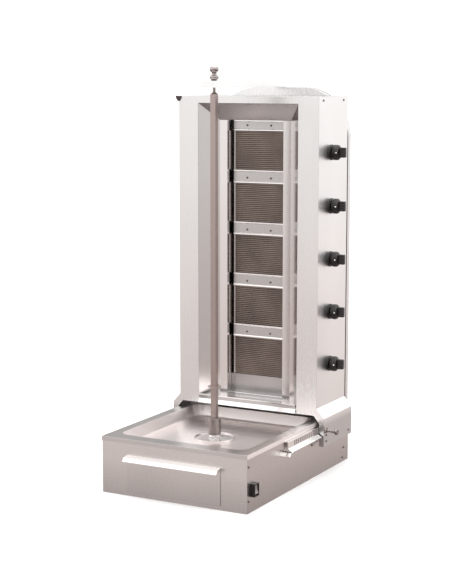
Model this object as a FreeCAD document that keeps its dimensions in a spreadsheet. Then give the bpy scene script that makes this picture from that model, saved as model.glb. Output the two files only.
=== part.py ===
import FreeCAD, Part
import os
import re
import Sketcher

# Vertical rotisserie broiler with five gas burners.
# Millimetres. X = 0 is the machine's centre plane, Y = 0 is the spit's axis (the user stands at -Y),
# and Z = 0 is the surface the machine stands on.

SIZES = {
    # sheet metal
    "gauge": 1.5,
    "thin_gauge": 1.2,
    # how far a cutting tool sticks out of what it cuts, or a piece runs into what it joins
    "overshoot": 1,
    # base cabinet: a box of sheet with a pressed tray on top
    "base_half": 228,
    "base_front": -234,
    "base_rear": 426,
    "rim_top": 161,
    "lip_height": 12,
    "lip_overhang": 1.3,
    "lip_clearance": 0.1,
    "tray_rear": 404,
    "rim_side": 28,
    "rim_front": 42,
    "rim_rear": 164,
    "basin_floor": 130,
    "basin_slope": 14,
    "basin_corner": 34,
    "basin_bend": 8,
    "drain_y": -150,
    "drain_bore": 12,
    "spout_bottom": 119,
    "bearing_hole": 13,
    # drawer under the tray, open at the top
    "drawer_half": 140,
    "drawer_low": 20,
    "drawer_top": 106,
    "drawer_rear": -74,
    "drawer_gap": 0.3,
    "drawer_opening_half": 141,
    "drawer_opening_low": 18,
    "drawer_opening_top": 110,
    "front_half": 148,
    "front_low": 12,
    "front_top": 116.5,
    "front_gauge": 2,
    "handle_reach": 24.7,
    "handle_fold": 18,
    "handle_drop": 4,
    "handle_lip": 10,
    "runner_inner": 141.5,
    "runner_top": 60,
    "runner_ledge": 15.5,
    "runner_front": -230,
    "runner_rear": -80,
    # rails for the burner tower, one on each side of the base
    "rail_gauge": 2,
    "rail_top": 147,
    "rail_stand": 8,
    "rail_fold": 128,
    "rail_reach": 20.5,
    "rail_edge": 119.5,
    "rail_edge_under": 117.8,
    "rail_fold_under": 126.9,
    "rail_front": -5,
    "rail_rear": 404,
    # foot at each rail's front end, with two tabs that slope down
    "foot_reach": 24,
    "foot_low": 118,
    "foot_top": 120,
    "foot_front": -17,
    "tab_front": -26,
    "tab_drop": 9,
    "tab_width": 10,
    "rack_first": 38,
    "rack_pitch": 12,
    "rack_count": 16,
    "rack_slot_width": 6.4,
    "rack_slot_low": 130,
    "rack_slot_top": 144,
    # column, back panel and arm that hold the spit's top
    "panel_half": 226,
    "panel_front": 405.5,
    "panel_rear": 424.4,
    "panel_top": 1120,
    "panel_corner": 148,
    "column_front": 407,
    "column_rear": 424,
    "arm_half": 19,
    "arm_low": 1121,
    "arm_high": 1139,
    "arm_front": -39,
    "arm_rear": 429,
    "arm_wall": 2,
    "arm_boss": 13,
    "arm_clearance": 0.5,
    # spit
    "bar_side": 16,
    "bar_shoulder": 1103,
    "bar_top": 1108,
    "bar_taper": 4.5,
    "socket_side": 16.2,
    "socket_low": 149,
    "sleeve_radius": 17.5,
    "sleeve_low": 142,
    "sleeve_top": 189,
    "sleeve_chamfer": 1,
    "collar_radius": 16,
    "collar_neck": 13.5,
    "collar_low": 134.5,
    "shaft_radius": 8,
    "shaft_low": 66,
    "disc_radius": 19,
    "disc_low": 279,
    "disc_height": 3,
    "running_gap": 0.05,
    "pin_radius": 4,
    "pin_low": 1094,
    "pin_top": 1158,
    "pin_seat_low": 1088,
    "spool_low": 1139.4,
    "spool_top": 1178,
    "spool_radius": 12.5,
    "spool_waist": 7,
    "spool_foot": 9,
    "spool_foot_height": 3,
    "spool_bead_low": 6,
    "spool_bead_high": 13,
    "spool_waist_low": 17,
    "spool_waist_drop": 16,
    "spool_crown_drop": 13,
    "spool_crown": 4,
    # ring and bearing round the drive shaft, on the tray's floor
    "ring_radius": 58.5,
    "ring_bore": 18.2,
    "ring_edge": 4.5,
    "ring_bead": 3.5,
    "bearing_flange": 17.8,
    "bearing_low": 112,
    "bearing_top": 133,
    # gearmotor in the base
    "gearbox_half": 40,
    "gearbox_front": -45,
    "gearbox_rear": 45,
    "gearbox_low": 28,
    "gearbox_top": 96,
    "gearbox_bore_low": 60,
    "gearbox_boss": 18,
    "gearbox_boss_top": 104,
    "motor_radius": 31,
    "motor_rear": 160,
    "motor_z": 62,
    "motor_cap": 6,
    "motor_cap_step": 8,
    "bracket_half": 60,
    "bracket_front": -50,
    "bracket_rear": 60,
    # rocker switch on the right wall
    "switch_y": -200,
    "switch_z": 61,
    "switch_half_width": 13,
    "switch_half_height": 18,
    "switch_reach": 12.5,
    "switch_depth": 20,
    "switch_cavity_width": 9.8,
    "switch_cavity_height": 14.3,
    "switch_cutout_width": 11,
    "switch_cutout_height": 15.5,
    "rocker_pivot": 228.5,
    "rocker_half_width": 9.5,
    "rocker_half_height": 12.4,
    "rocker_front": 9.5,
    "rocker_middle": 8,
    "rocker_back": 7,
    "rocker_narrowing": 4,
    "rocker_tilt": 10,
    # cable gland and terminal box
    "gland_x": -150,
    "gland_z": 60,
    "gland_bore": 4,
    "gland_thread": 8,
    "gland_cap": 11,
    "gland_inner": 418,
    "gland_outer": 438,
    "gland_chamfer": 3,
    "terminal_front": 350,
    "terminal_rear": 395,
    "terminal_half": 40,
    "terminal_height": 36,
    # burner tower
    "tower_half": 228,
    "tower_front": 196,
    "tower_rear": 394,
    "tower_low": 179,
    "tower_top": 1095,
    "skirt_half": 252,
    "skirt_shoulder": 200,
    "skirt_bend": 173,
    "skirt_low": 90,
    "skirt_flange": 15,
    "apron_end": 219,
    "flange_shoulder": 157,
    # notch for the rail's sloping shelf, in the flange before each skirt
    "notch_outer": 249.6,
    "notch_low": 115.5,
    "notch_rise": 9,
    "notch_height": 5.5,
    "floor_half": 240,
    "window_half": 163,
    "window_low": 198,
    "window_top": 1075,
    "reflector_inner": 117,
    "reflector_depth": 50,
    "recess_half": 92,
    "recess_front": 246,
    "recess_rear": 276,
    "floor_lip": 7,
    # bright sill folded over the window's lower edge and down in front of the apron
    "sill_gap": 1.6,
    "sill_low": 180.5,
    "sill_foot": 188.5,
    "sill_waist": 194.4,
    "sill_waist_z": 193,
    "sill_brow": 192.2,
    "sill_brow_z": 202,
    "sill_top": 206,
    "vent_first": -170,
    "vent_pitch": 42.5,
    "vent_half_width": 4,
    "vent_front": 225,
    "vent_rear": 365,
    # burners
    "burner_first": 936,
    "burner_pitch": 154,
    "mesh_half": 85,
    "mesh_height": 115,
    "mesh_front": 278,
    "mesh_gauge": 1,
    "ceramic_front": 281,
    "ceramic_rear": 293,
    "burner_half": 90,
    "burner_half_height": 62,
    "burner_front": 279.5,
    "burner_rear": 325,
    "burner_wall": 4,
    "venturi_radius": 14,
    "venturi_rear": 360,
    "crossbar_front": 272,
    "crossbar_gap": 0.4,
    "blank_front": 274,
    # gas line and valves
    "valve_y": 283.5,
    "valve_inner": 190,
    "valve_outer": 222,
    "valve_half": 15,
    "valve_bore_low": 205,
    "manifold_x": 206,
    "manifold_y": 308,
    "manifold_radius": 9,
    "manifold_low": 216,
    "manifold_top": 972,
    "manifold_stub": 6,
    "pipe_y": 288,
    "pipe_radius": 4,
    "inlet_z": 230,
    "inlet_pipe": 8,
    "inlet_thread": 10.48,
    "inlet_nut": 13.5,
    "inlet_nut_outer": -222,
    "inlet_nut_inner": -212,
    "inlet_bore": 6,
    "inlet_wall": 3,
    "inlet_end": -250,
    "inlet_shoulder": -230,
    "inlet_hole": 8.7,
    # valve knobs
    "spindle_radius": 4,
    "spindle_inner": 212,
    "spindle_outer": 262,
    "spindle_hole": 5,
    "spindle_end_gap": 0.3,
    "bezel_radius": 22.5,
    "bezel_bore": 9,
    "bezel_height": 5,
    "knob_back": 236.5,
    "knob_skirt": 22,
    "knob_edge": 1,
    "knob_skirt_end": 251,
    "knob_cone_end": 255,
    "knob_cone": 14.5,
    "knob_end": 273,
    "grip_half_thickness": 6,
    "grip_half_height": 14.5,
    # plunger that locks the tower on the rack
    "lock_y": 206,
    "lock_z": 138,
    "lock_tip": 2.6,
    "lock_tip_end": 236.5,
    "lock_shaft": 4.5,
    "lock_shaft_inner": 244,
    "lock_knob": 10,
    "lock_knob_inner": 284,
    "lock_knob_outer": 292,
    "lock_knob_cone": 3,
    "lock_knob_edge": 2,
    "bushing_flange": 8.5,
    "bushing_body": 7,
    "bushing_inner": 246,
    "bushing_outer": 258,
    # glide blocks that hang the tower on the rails
    "glide_inner": 237,
    "glide_top": 131,
    "glide_low": 100,
    "glide_clearance": 0.3,
    "glide_front": 198,
    "glide_length": 28,
    "glide_spacing": 158,
    # lug and screws
    "lug_half": 9,
    "lug_waist": 7.5,
    "lug_waist_drop": 7,
    "lug_tip": 2.5,
    "lug_tip_drop": 14,
    "lug_height": 15.5,
    "lug_thickness": 4,
    "screw_radius": 3.2,
    "screw_height": 1.8,
    "bolt_radius": 3.6,
    "bolt_height": 3.2,
    "base_screw_front": -225,
    "base_screw_high": 127,
    "base_screw_low": 33,
    "base_screw_rear": 392,
    "base_screw_rear_z": 43,
    "foot_screw_y": 385,
    "foot_screw_z": 13,
    "rail_screw_y": 167,
    "rail_screw_z": 99,
    "foot_bolt_inner": 5,
    "foot_bolt_outer": 18.5,
    "foot_bolt_y": -11,
    "panel_screw_front": 226,
    "panel_screw_rear": 364,
    "panel_screw_drop": 11,
    "skirt_screw_front": 214,
    "skirt_screw_rear": 372,
    "skirt_screw_high": 122,
    "skirt_screw_low": 104,
    "bar_screw_x": 39,
    "bar_screw_rise": 16,
    # mitres where the reflectors meet the front frame
    "side_mitre": 1.4,
    "ceiling_mitre": 1.5,
}

BURNERS = 5
VENTS = 9

doc = FreeCAD.newDocument("vertical_broiler")
sheet = doc.addObject("Spreadsheet::Sheet", "Sizes")
for row, (name, value) in enumerate(SIZES.items(), start=1):
    sheet.set("A%d" % row, name)
    sheet.set("B%d" % row, str(value))
    sheet.setAlias("B%d" % row, name)
probe = doc.addObject("Part::Vertex", "probe")
doc.recompute()

NODES = []


# ---------------------------------------------------------------- helpers

def formula(text):
    """The expression with each size's name looked up on the sheet."""
    return re.sub(r"[a-z]\w+", lambda found: "Sizes." + found.group(0), str(text))


def value(text):
    """The number that an expression of size names stands for."""
    bind(probe, "X", text)
    probe.recompute()
    return float(probe.X)


def bind(thing, prop, text):
    thing.setExpression(prop, formula(text))


def place(thing, x="0", y="0", z="0"):
    for axis, text in zip("xyz", (x, y, z)):
        bind(thing, "Placement.Base." + axis, text)


def node(thing, label):
    """Names a finished piece, which makes it a file of its own."""
    thing.Label = label
    NODES.append(thing)
    return thing


def block(x, y, z):
    """A box between two planes on each axis."""
    solid = doc.addObject("Part::Box", "block")
    for prop, (low, high) in zip(("Length", "Width", "Height"), (x, y, z)):
        bind(solid, prop, "(%s) - (%s)" % (high, low))
    place(solid, x[0], y[0], z[0])
    return solid


TURNS = {
    "x": FreeCAD.Rotation(FreeCAD.Vector(0, 1, 0), 90),
    "y": FreeCAD.Rotation(FreeCAD.Vector(1, 0, 0), -90),
    "z": FreeCAD.Rotation(),
}


def rod(axis, radius, low, high, first, second):
    """A cylinder along an axis from low to high; first and second place it on the other two axes."""
    solid = doc.addObject("Part::Cylinder", "rod")
    bind(solid, "Radius", radius)
    bind(solid, "Height", "(%s) - (%s)" % (high, low))
    solid.Placement = FreeCAD.Placement(FreeCAD.Vector(), TURNS[axis])
    spots = {"x": (low, first, second), "y": (first, low, second), "z": (first, second, low)}
    place(solid, *spots[axis])
    return solid


def join(*pieces):
    solid = doc.addObject("Part::MultiFuse", "joined")
    solid.Shapes = list(pieces)
    solid.Refine = True
    return solid


def cut(base, *tools):
    solid = doc.addObject("Part::Cut", "cut")
    solid.Base = base
    solid.Tool = tools[0] if len(tools) == 1 else join(*tools)
    solid.Refine = True
    return solid


def common(first, second):
    solid = doc.addObject("Part::Common", "common")
    solid.Base = first
    solid.Tool = second
    return solid


def mirrored(source, normal=(1, 0, 0)):
    solid = doc.addObject("Part::Mirroring", "mirrored")
    solid.Source = source
    solid.Normal = FreeCAD.Vector(*normal)
    return solid


def group(*pieces):
    """Separate solids kept in one node."""
    solids = doc.addObject("Part::Compound", "group")
    solids.Links = list(pieces)
    return solids


def origin_plane(body, role):
    return next(item for item in body.Origin.OriginFeatures if item.Role == role)


def outline(body, role, corners):
    """A sketch on one of the body's own planes, with the outline given by its corners."""
    sketch = body.newObject("Sketcher::SketchObject", "outline")
    sketch.AttachmentSupport = [(origin_plane(body, role), "")]
    sketch.MapMode = "FlatFace"
    draw(sketch, corners)
    return sketch


def draw(sketch, corners):
    """A closed outline of straight lines, every corner bound to the sheet."""
    spots = [FreeCAD.Vector(value(across), value(up), 0) for across, up in corners]
    count = len(spots)
    for index in range(count):
        sketch.addGeometry(Part.LineSegment(spots[index], spots[(index + 1) % count]), False)
    for index in range(count):
        sketch.addConstraint(Sketcher.Constraint("Coincident", index, 2, (index + 1) % count, 1))
    for index, (across, up) in enumerate(corners):
        for kind, text, number in (("DistanceX", across, spots[index].x), ("DistanceY", up, spots[index].y)):
            held = sketch.addConstraint(Sketcher.Constraint(kind, -1, 1, index, 1, number))
            sketch.setExpression("Constraints[%d]" % held, formula(text))


def pad(body, sketch, length):
    feature = body.newObject("PartDesign::Pad", "pad")
    feature.Profile = sketch
    bind(feature, "Length", length)
    return feature


def turn(body, sketch):
    """A revolution about the sketch's upright axis."""
    feature = body.newObject("PartDesign::Revolution", "revolution")
    feature.Profile = sketch
    feature.ReferenceAxis = (sketch, ["V_Axis"])
    feature.Angle = 360
    return feature


def new_body():
    return doc.addObject("PartDesign::Body", "body")


def bent_x(corners, low, high):
    """Sheet bent in the YZ plane, corners given as (y, z), running along X."""
    body = new_body()
    pad(body, outline(body, "YZ_Plane", corners), "(%s) - (%s)" % (high, low))
    place(body, x=low)
    return body


def bent_y(corners, low, high):
    """Sheet bent in the XZ plane, corners given as (x, z), running along Y."""
    body = new_body()
    pad(body, outline(body, "XZ_Plane", corners), "(%s) - (%s)" % (high, low))
    place(body, y=high)
    return body


def bent_z(corners, low, high):
    """Sheet bent in the XY plane, corners given as (x, y), running up Z."""
    body = new_body()
    pad(body, outline(body, "XY_Plane", corners), "(%s) - (%s)" % (high, low))
    place(body, z=low)
    return body


def turned(corners, axis="z", spot=("0", "0", "0")):
    """A turned piece, corners given as (radius, distance along the axis)."""
    body = new_body()
    turn(body, outline(body, "XZ_Plane", corners))
    body.Placement = FreeCAD.Placement(FreeCAD.Vector(), TURNS[axis])
    place(body, *spot)
    return body


def rounded(body, base, radius, chosen):
    """A fillet on the edges of a body's last feature that pass a test."""
    doc.recompute()
    edges = ["Edge%d" % (index + 1) for index, edge in enumerate(base.Shape.Edges) if chosen(edge)]
    feature = body.newObject("PartDesign::Fillet", "fillet")
    feature.Base = (base, edges)
    bind(feature, "Radius", radius)
    return feature


def climbs(edge):
    """True for an edge that goes up, straight or leaning."""
    return abs(edge.Vertexes[0].Z - edge.Vertexes[-1].Z) > 1


def level_x(edge):
    """True for an edge that runs along X."""
    return abs(edge.Vertexes[0].X - edge.Vertexes[-1].X) > 1


def both(text):
    """The same distance to the left and to the right of the centre plane."""
    return "-(%s)" % text, text


def burner_z(index):
    return "burner_first - %d * burner_pitch" % index


# ---------------------------------------------------------------- base

def base_casing():
    shell = cut(
        block(both("base_half"), ("base_front", "base_rear"), ("0", "rim_top - thin_gauge")),
        block(
            both("base_half - gauge"),
            ("base_front + gauge", "base_rear - gauge"),
            ("-overshoot", "rim_top + overshoot"),
        ),
    )
    drawer_hole = block(
        both("drawer_opening_half"),
        ("base_front - overshoot", "base_front + gauge + overshoot"),
        ("drawer_opening_low", "drawer_opening_top"),
    )
    switch_hole = block(
        ("base_half - gauge - overshoot", "base_half + overshoot"),
        ("switch_y - switch_cutout_width", "switch_y + switch_cutout_width"),
        ("switch_z - switch_cutout_height", "switch_z + switch_cutout_height"),
    )
    inside, outside = "base_rear - gauge - overshoot", "base_rear + overshoot"
    gland_hole = rod("y", "gland_thread", inside, outside, "gland_x", "gland_z")
    node(cut(shell, drawer_hole, switch_hole, gland_hole), "base_casing")


def bottom_plate():
    plate = block(
        both("base_half - gauge - lip_clearance"),
        ("base_front + gauge + lip_clearance", "base_rear - gauge - lip_clearance"),
        ("0", "gauge"),
    )
    node(plate, "bottom_plate")


def basin(grow):
    """The tray's hollow: a tapered block with rounded corners and bends, grown by a sheet's thickness."""
    wide = "base_half - rim_side + %s" % grow
    front = "base_front + rim_front - %s" % grow
    rear = "tray_rear - rim_rear + %s" % grow
    wedge = doc.addObject("Part::Wedge", "basin")
    bind(wedge, "Xmin", "-(%s - basin_slope)" % wide)
    bind(wedge, "Xmax", "%s - basin_slope" % wide)
    bind(wedge, "X2min", "-(%s)" % wide)
    bind(wedge, "X2max", wide)
    bind(wedge, "Ymin", "basin_floor - %s" % grow)
    bind(wedge, "Ymax", "rim_top")
    bind(wedge, "Zmin", "-(%s - basin_slope)" % rear)
    bind(wedge, "Zmax", "-(%s + basin_slope)" % front)
    bind(wedge, "Z2min", "-(%s)" % rear)
    bind(wedge, "Z2max", "-(%s)" % front)
    wedge.Placement = FreeCAD.Placement(FreeCAD.Vector(), FreeCAD.Rotation(FreeCAD.Vector(1, 0, 0), 90))
    doc.recompute()
    floor = value("basin_floor - %s" % grow)
    smooth = doc.addObject("Part::Fillet", "pressed")
    smooth.Base = wedge
    corner = value("basin_corner + %s" % grow)
    bend = value("basin_bend + %s" % grow)
    edges = []
    for index, edge in enumerate(wedge.Shape.Edges, start=1):
        if climbs(edge):
            edges.append((index, corner, corner))
        elif abs(edge.CenterOfMass.z - floor) < 0.01:
            edges.append((index, bend, bend))
    smooth.Edges = edges
    return smooth


def drip_tray():
    rim = block(
        both("base_half + lip_overhang"),
        ("base_front - lip_overhang", "tray_rear"),
        ("rim_top - lip_height", "rim_top"),
    )
    under = block(
        both("base_half + lip_clearance"),
        ("base_front - lip_clearance", "tray_rear + overshoot"),
        ("rim_top - lip_height - overshoot", "rim_top - thin_gauge"),
    )
    spout_top = "basin_floor - thin_gauge / 2"
    spout = rod("z", "drain_bore + thin_gauge", "spout_bottom", spout_top, "0", "drain_y")
    pan = join(cut(rim, under), basin("thin_gauge"), spout)
    drain = rod("z", "drain_bore", "spout_bottom - overshoot", "basin_floor + overshoot", "0", "drain_y")
    below, above = "basin_floor - thin_gauge - overshoot", "basin_floor + overshoot"
    shaft_hole = rod("z", "bearing_hole", below, above, "0", "0")
    node(cut(pan, basin("0"), drain, shaft_hole), "drip_tray")


def tray_ring():
    """Flat ring with a raised edge that lies on the tray's floor round the drive."""
    corners = [
        ("ring_bore", "0"),
        ("ring_radius", "0"),
        ("ring_radius", "ring_edge"),
        ("ring_radius - ring_bead", "ring_edge"),
        ("ring_radius - ring_bead", "thin_gauge"),
        ("ring_bore", "thin_gauge"),
    ]
    node(turned(corners, spot=("0", "0", "basin_floor")), "tray_ring")


def shaft_bearing():
    """Flanged bush that carries the drive shaft through the tray's floor."""
    bore = "shaft_radius + running_gap"
    corners = [
        (bore, "bearing_low"),
        ("bearing_hole", "bearing_low"),
        ("bearing_hole", "basin_floor"),
        ("bearing_flange", "basin_floor"),
        ("bearing_flange", "bearing_top"),
        (bore, "bearing_top"),
    ]
    node(turned(corners), "shaft_bearing")


def drawer_runners():
    corners = [
        ("runner_inner", "gauge"),
        ("runner_inner + gauge", "gauge"),
        ("runner_inner + gauge", "runner_top"),
        ("runner_inner", "runner_top"),
        ("runner_inner", "drawer_opening_low + gauge"),
        ("runner_inner - runner_ledge", "drawer_opening_low + gauge"),
        ("runner_inner - runner_ledge", "drawer_opening_low"),
        ("runner_inner", "drawer_opening_low"),
    ]
    right = bent_y(corners, "runner_front", "runner_rear")
    node(group(right, mirrored(right)), "drawer_runners")


def slide_rails():
    """Folded rails with a rack of slots, a sloping shelf for the tower, and a foot at the front."""
    wall = "base_half"
    plate = wall + " + rail_stand"
    corners = [
        (wall, "rail_top"),
        (plate, "rail_top"),
        (plate, "rail_fold"),
        (wall + " + rail_reach", "rail_edge"),
        (wall + " + rail_reach - rail_gauge / 2", "rail_edge_under"),
        (plate + " - rail_gauge", "rail_fold_under"),
        (plate + " - rail_gauge", "rail_top - rail_gauge"),
        (wall, "rail_top - rail_gauge"),
    ]
    angle = new_body()
    pad(angle, outline(angle, "XZ_Plane", corners), "rail_rear - rail_front")
    place(angle, y="rail_rear")
    doc.recompute()
    slot = angle.newObject("Sketcher::SketchObject", "slot")
    slot.AttachmentSupport = [(origin_plane(angle, "YZ_Plane"), "")]
    slot.MapMode = "FlatFace"
    low_y = "rack_first - rack_slot_width / 2 - rail_rear"
    high_y = "rack_first + rack_slot_width / 2 - rail_rear"
    low, high = "rack_slot_low", "rack_slot_top"
    draw(slot, [(low_y, low), (high_y, low), (high_y, high), (low_y, high)])
    pocket = angle.newObject("PartDesign::Pocket", "rack_slot")
    pocket.Profile = slot
    pocket.Type = "ThroughAll"
    pocket.Midplane = True
    doc.recompute()
    rack = angle.newObject("PartDesign::LinearPattern", "rack")
    rack.Originals = [pocket]
    rack.Direction = (slot, ["H_Axis"])
    bind(rack, "Length", "(rack_count - 1) * rack_pitch")
    bind(rack, "Occurrences", "rack_count")
    angle.Tip = rack
    foot = block(
        (wall, wall + " + foot_reach"),
        ("foot_front", "rail_front + overshoot"),
        ("foot_low", "foot_top"),
    )
    slope = [
        ("foot_front + overshoot", "foot_top"),
        ("foot_front", "foot_top"),
        ("tab_front", "foot_top - tab_drop"),
        ("tab_front", "foot_low - tab_drop"),
        ("foot_front", "foot_low"),
        ("foot_front + overshoot", "foot_low"),
    ]
    inner_tab = bent_x(slope, wall, wall + " + tab_width")
    outer_tab = bent_x(slope, wall + " + foot_reach - tab_width", wall + " + foot_reach")
    right = join(angle, foot, inner_tab, outer_tab)
    node(group(right, mirrored(right)), "slide_rails")


def arm_column():
    """Square tube behind the back panel that carries the arm."""
    tube = cut(
        block(both("arm_half"), ("column_front", "column_rear"), ("2 * gauge", "arm_low")),
        block(
            both("arm_half - arm_wall"),
            ("column_front + arm_wall", "column_rear - arm_wall"),
            ("0", "arm_low + overshoot"),
        ),
    )
    node(tube, "arm_column")


def arched(half, top, low, high, corner, bottom):
    """A plate with two rounded top corners, running along Y."""
    corners = [("-(%s)" % half, bottom), (half, bottom), (half, top), ("-(%s)" % half, top)]
    body = new_body()
    slab = pad(body, outline(body, "XZ_Plane", corners), "(%s) - (%s)" % (high, low))
    place(body, y=high)
    doc.recompute()
    peak = value(top)
    rounded(body, slab, corner, lambda edge: abs(edge.CenterOfMass.z - peak) < 0.01 and not level_x(edge))
    return body


def back_panel():
    """Tall folded panel with an arched top, closed in front and open behind."""
    shell = cut(
        arched("panel_half", "panel_top", "panel_front", "panel_rear", "panel_corner", "gauge"),
        arched(
            "panel_half - gauge",
            "panel_top - gauge",
            "panel_front + gauge",
            "panel_rear + overshoot",
            "panel_corner - gauge",
            "2 * gauge",
        ),
        block(
            both("arm_half + arm_clearance"),
            ("column_front", "panel_rear + overshoot"),
            ("panel_top - gauge - overshoot", "panel_top + overshoot"),
        ),
    )
    node(shell, "back_panel")


def top_arm():
    """Box arm, open underneath except round the spit's pin."""
    hollow = block(
        both("arm_half - arm_wall"),
        ("arm_boss", "arm_rear - arm_wall"),
        ("arm_low - overshoot", "arm_high - arm_wall"),
    )
    pin_hole = rod("z", "pin_radius + running_gap", "arm_low - overshoot", "arm_high + overshoot", "0", "0")
    bar = block(both("arm_half"), ("arm_front", "arm_rear"), ("arm_low", "arm_high"))
    node(cut(bar, hollow, pin_hole), "top_arm")


def gearmotor():
    bore_top = "gearbox_boss_top + overshoot"
    bore = rod("z", "shaft_radius + running_gap", "gearbox_bore_low", bore_top, "0", "0")
    case = block(both("gearbox_half"), ("gearbox_front", "gearbox_rear"), ("gearbox_low", "gearbox_top"))
    boss = rod("z", "gearbox_boss", "gearbox_top - overshoot", "gearbox_boss_top", "0", "0")
    node(cut(join(case, boss), bore), "gearbox")
    can = rod("y", "motor_radius", "gearbox_rear", "motor_rear", "0", "motor_z")
    cap_end = "motor_rear + motor_cap"
    cap = rod("y", "motor_radius - motor_cap_step", "motor_rear - overshoot", cap_end, "0", "motor_z")
    node(join(can, cap), "motor")
    side, top = "bracket_half", "gearbox_low"
    corners = [
        ("-" + side, "gauge"),
        ("-%s + gauge" % side, "gauge"),
        ("-%s + gauge" % side, top + " - gauge"),
        (side + " - gauge", top + " - gauge"),
        (side + " - gauge", "gauge"),
        (side, "gauge"),
        (side, top),
        ("-" + side, top),
    ]
    node(bent_y(corners, "bracket_front", "bracket_rear"), "motor_bracket")


def power_switch():
    frame = block(
        ("base_half", "base_half + switch_reach"),
        ("switch_y - switch_half_width", "switch_y + switch_half_width"),
        ("switch_z - switch_half_height", "switch_z + switch_half_height"),
    )
    barrel = block(
        ("base_half - switch_depth", "base_half + overshoot"),
        ("switch_y - switch_cutout_width", "switch_y + switch_cutout_width"),
        ("switch_z - switch_cutout_height", "switch_z + switch_cutout_height"),
    )
    cavity = block(
        ("base_half - switch_depth + gauge", "base_half + switch_reach + overshoot"),
        ("switch_y - switch_cavity_width", "switch_y + switch_cavity_width"),
        ("switch_z - switch_cavity_height", "switch_z + switch_cavity_height"),
    )
    node(cut(join(frame, barrel), cavity), "switch_bezel")
    corners = [
        ("-rocker_back", "-rocker_half_height + rocker_narrowing"),
        ("rocker_front", "-rocker_half_height"),
        ("rocker_middle", "0"),
        ("rocker_front", "rocker_half_height"),
        ("-rocker_back", "rocker_half_height - rocker_narrowing"),
    ]
    rocker = new_body()
    pad(rocker, outline(rocker, "XZ_Plane", corners), "2 * rocker_half_width")
    tilt = -value("rocker_tilt")
    rocker.Placement = FreeCAD.Placement(FreeCAD.Vector(), FreeCAD.Rotation(FreeCAD.Vector(0, 1, 0), tilt))
    place(rocker, "rocker_pivot", "switch_y + rocker_half_width", "switch_z")
    node(rocker, "switch_rocker")


def wiring():
    corners = [
        ("gland_bore", "gland_inner"),
        ("gland_thread", "gland_inner"),
        ("gland_thread", "base_rear"),
        ("gland_cap", "base_rear"),
        ("gland_cap", "gland_outer - gland_chamfer"),
        ("gland_cap - gland_chamfer", "gland_outer"),
        ("gland_bore", "gland_outer"),
    ]
    node(turned(corners, "y", ("gland_x", "0", "gland_z")), "cable_gland")
    box = block(
        ("gland_x - terminal_half", "gland_x + terminal_half"),
        ("terminal_front", "terminal_rear"),
        ("gauge", "gauge + terminal_height"),
    )
    node(box, "terminal_box")


def screw(axis, side, first, second, radius="screw_radius", height="screw_height"):
    """A low round head that stands out of a face at `side`, towards + or - along the axis."""
    if side.startswith("-"):
        return rod(axis, radius, "%s - %s" % (side, height), side, first, second)
    return rod(axis, radius, side, "%s + %s" % (side, height), first, second)


def base_screws():
    spots = (
        ("base_screw_front", "base_screw_high"),
        ("base_screw_front", "base_screw_low"),
        ("base_screw_rear", "base_screw_rear_z"),
        ("foot_screw_y", "foot_screw_z"),
        ("rail_screw_y", "rail_screw_z"),
    )
    heads = []
    for side in ("base_half", "-base_half"):
        for along, up in spots:
            heads.append(screw("x", side, along, up))
    for inset in ("foot_bolt_inner", "foot_bolt_outer"):
        for across in both("base_half + %s" % inset):
            heads.append(screw("z", "foot_top", across, "foot_bolt_y", "bolt_radius", "bolt_height"))
    node(group(*heads), "base_screws")


# ---------------------------------------------------------------- drawer

def drawer():
    tub = cut(
        block(
            both("drawer_half"),
            ("base_front - drawer_gap", "drawer_rear"),
            ("drawer_low", "drawer_top"),
        ),
        block(
            both("drawer_half - thin_gauge"),
            ("base_front - drawer_gap + thin_gauge", "drawer_rear - thin_gauge"),
            ("drawer_low + thin_gauge", "drawer_top + overshoot"),
        ),
    )
    node(tub, "drawer_box")
    inner = "base_front - drawer_gap"
    outer = inner + " - front_gauge"
    fold = inner + " - handle_fold"
    tip = inner + " - handle_reach"
    corners = [
        (inner, "front_low"),
        (inner, "front_top"),
        (fold, "front_top - handle_drop"),
        (tip, "front_top - handle_drop - handle_lip"),
        (tip + " + gauge", "front_top - handle_drop - handle_lip"),
        (fold + " + gauge", "front_top - handle_drop - gauge"),
        (outer, "front_top - front_gauge"),
        (outer, "front_low"),
    ]
    node(bent_x(corners, *both("front_half")), "drawer_front")


# ---------------------------------------------------------------- spit

def spit():
    corner = "bar_side / 2"
    bar = block(both(corner), both(corner), ("socket_low", "bar_shoulder"))
    tip = doc.addObject("Part::Wedge", "tip")
    for axis in "XZ":
        bind(tip, axis + "min", "-(%s)" % corner)
        bind(tip, axis + "max", corner)
        bind(tip, axis + "2min", "-(%s - bar_taper)" % corner)
        bind(tip, axis + "2max", "%s - bar_taper" % corner)
    bind(tip, "Ymin", "bar_shoulder")
    bind(tip, "Ymax", "bar_top")
    tip.Placement = FreeCAD.Placement(FreeCAD.Vector(), FreeCAD.Rotation(FreeCAD.Vector(1, 0, 0), 90))
    seat = rod("z", "pin_radius + running_gap", "pin_seat_low", "bar_top + overshoot", "0", "0")
    node(cut(join(bar, tip), seat), "spit_bar")
    socket = "socket_side / 2"
    plate = rod("z", "disc_radius", "disc_low", "disc_low + disc_height", "0", "0")
    hole = block(both(socket), both(socket), ("disc_low - overshoot", "disc_low + disc_height + overshoot"))
    node(cut(plate, hole), "spit_disc")
    corners = [
        ("0", "shaft_low"),
        ("shaft_radius", "shaft_low"),
        ("shaft_radius", "collar_low"),
        ("collar_radius", "collar_low"),
        ("collar_neck", "sleeve_low"),
        ("sleeve_radius", "sleeve_low + sleeve_chamfer"),
        ("sleeve_radius", "sleeve_top - sleeve_chamfer"),
        ("sleeve_radius - sleeve_chamfer", "sleeve_top"),
        ("0", "sleeve_top"),
    ]
    square = block(both(socket), both(socket), ("socket_low", "sleeve_top + overshoot"))
    node(cut(turned(corners), square), "drive_sleeve")


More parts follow.
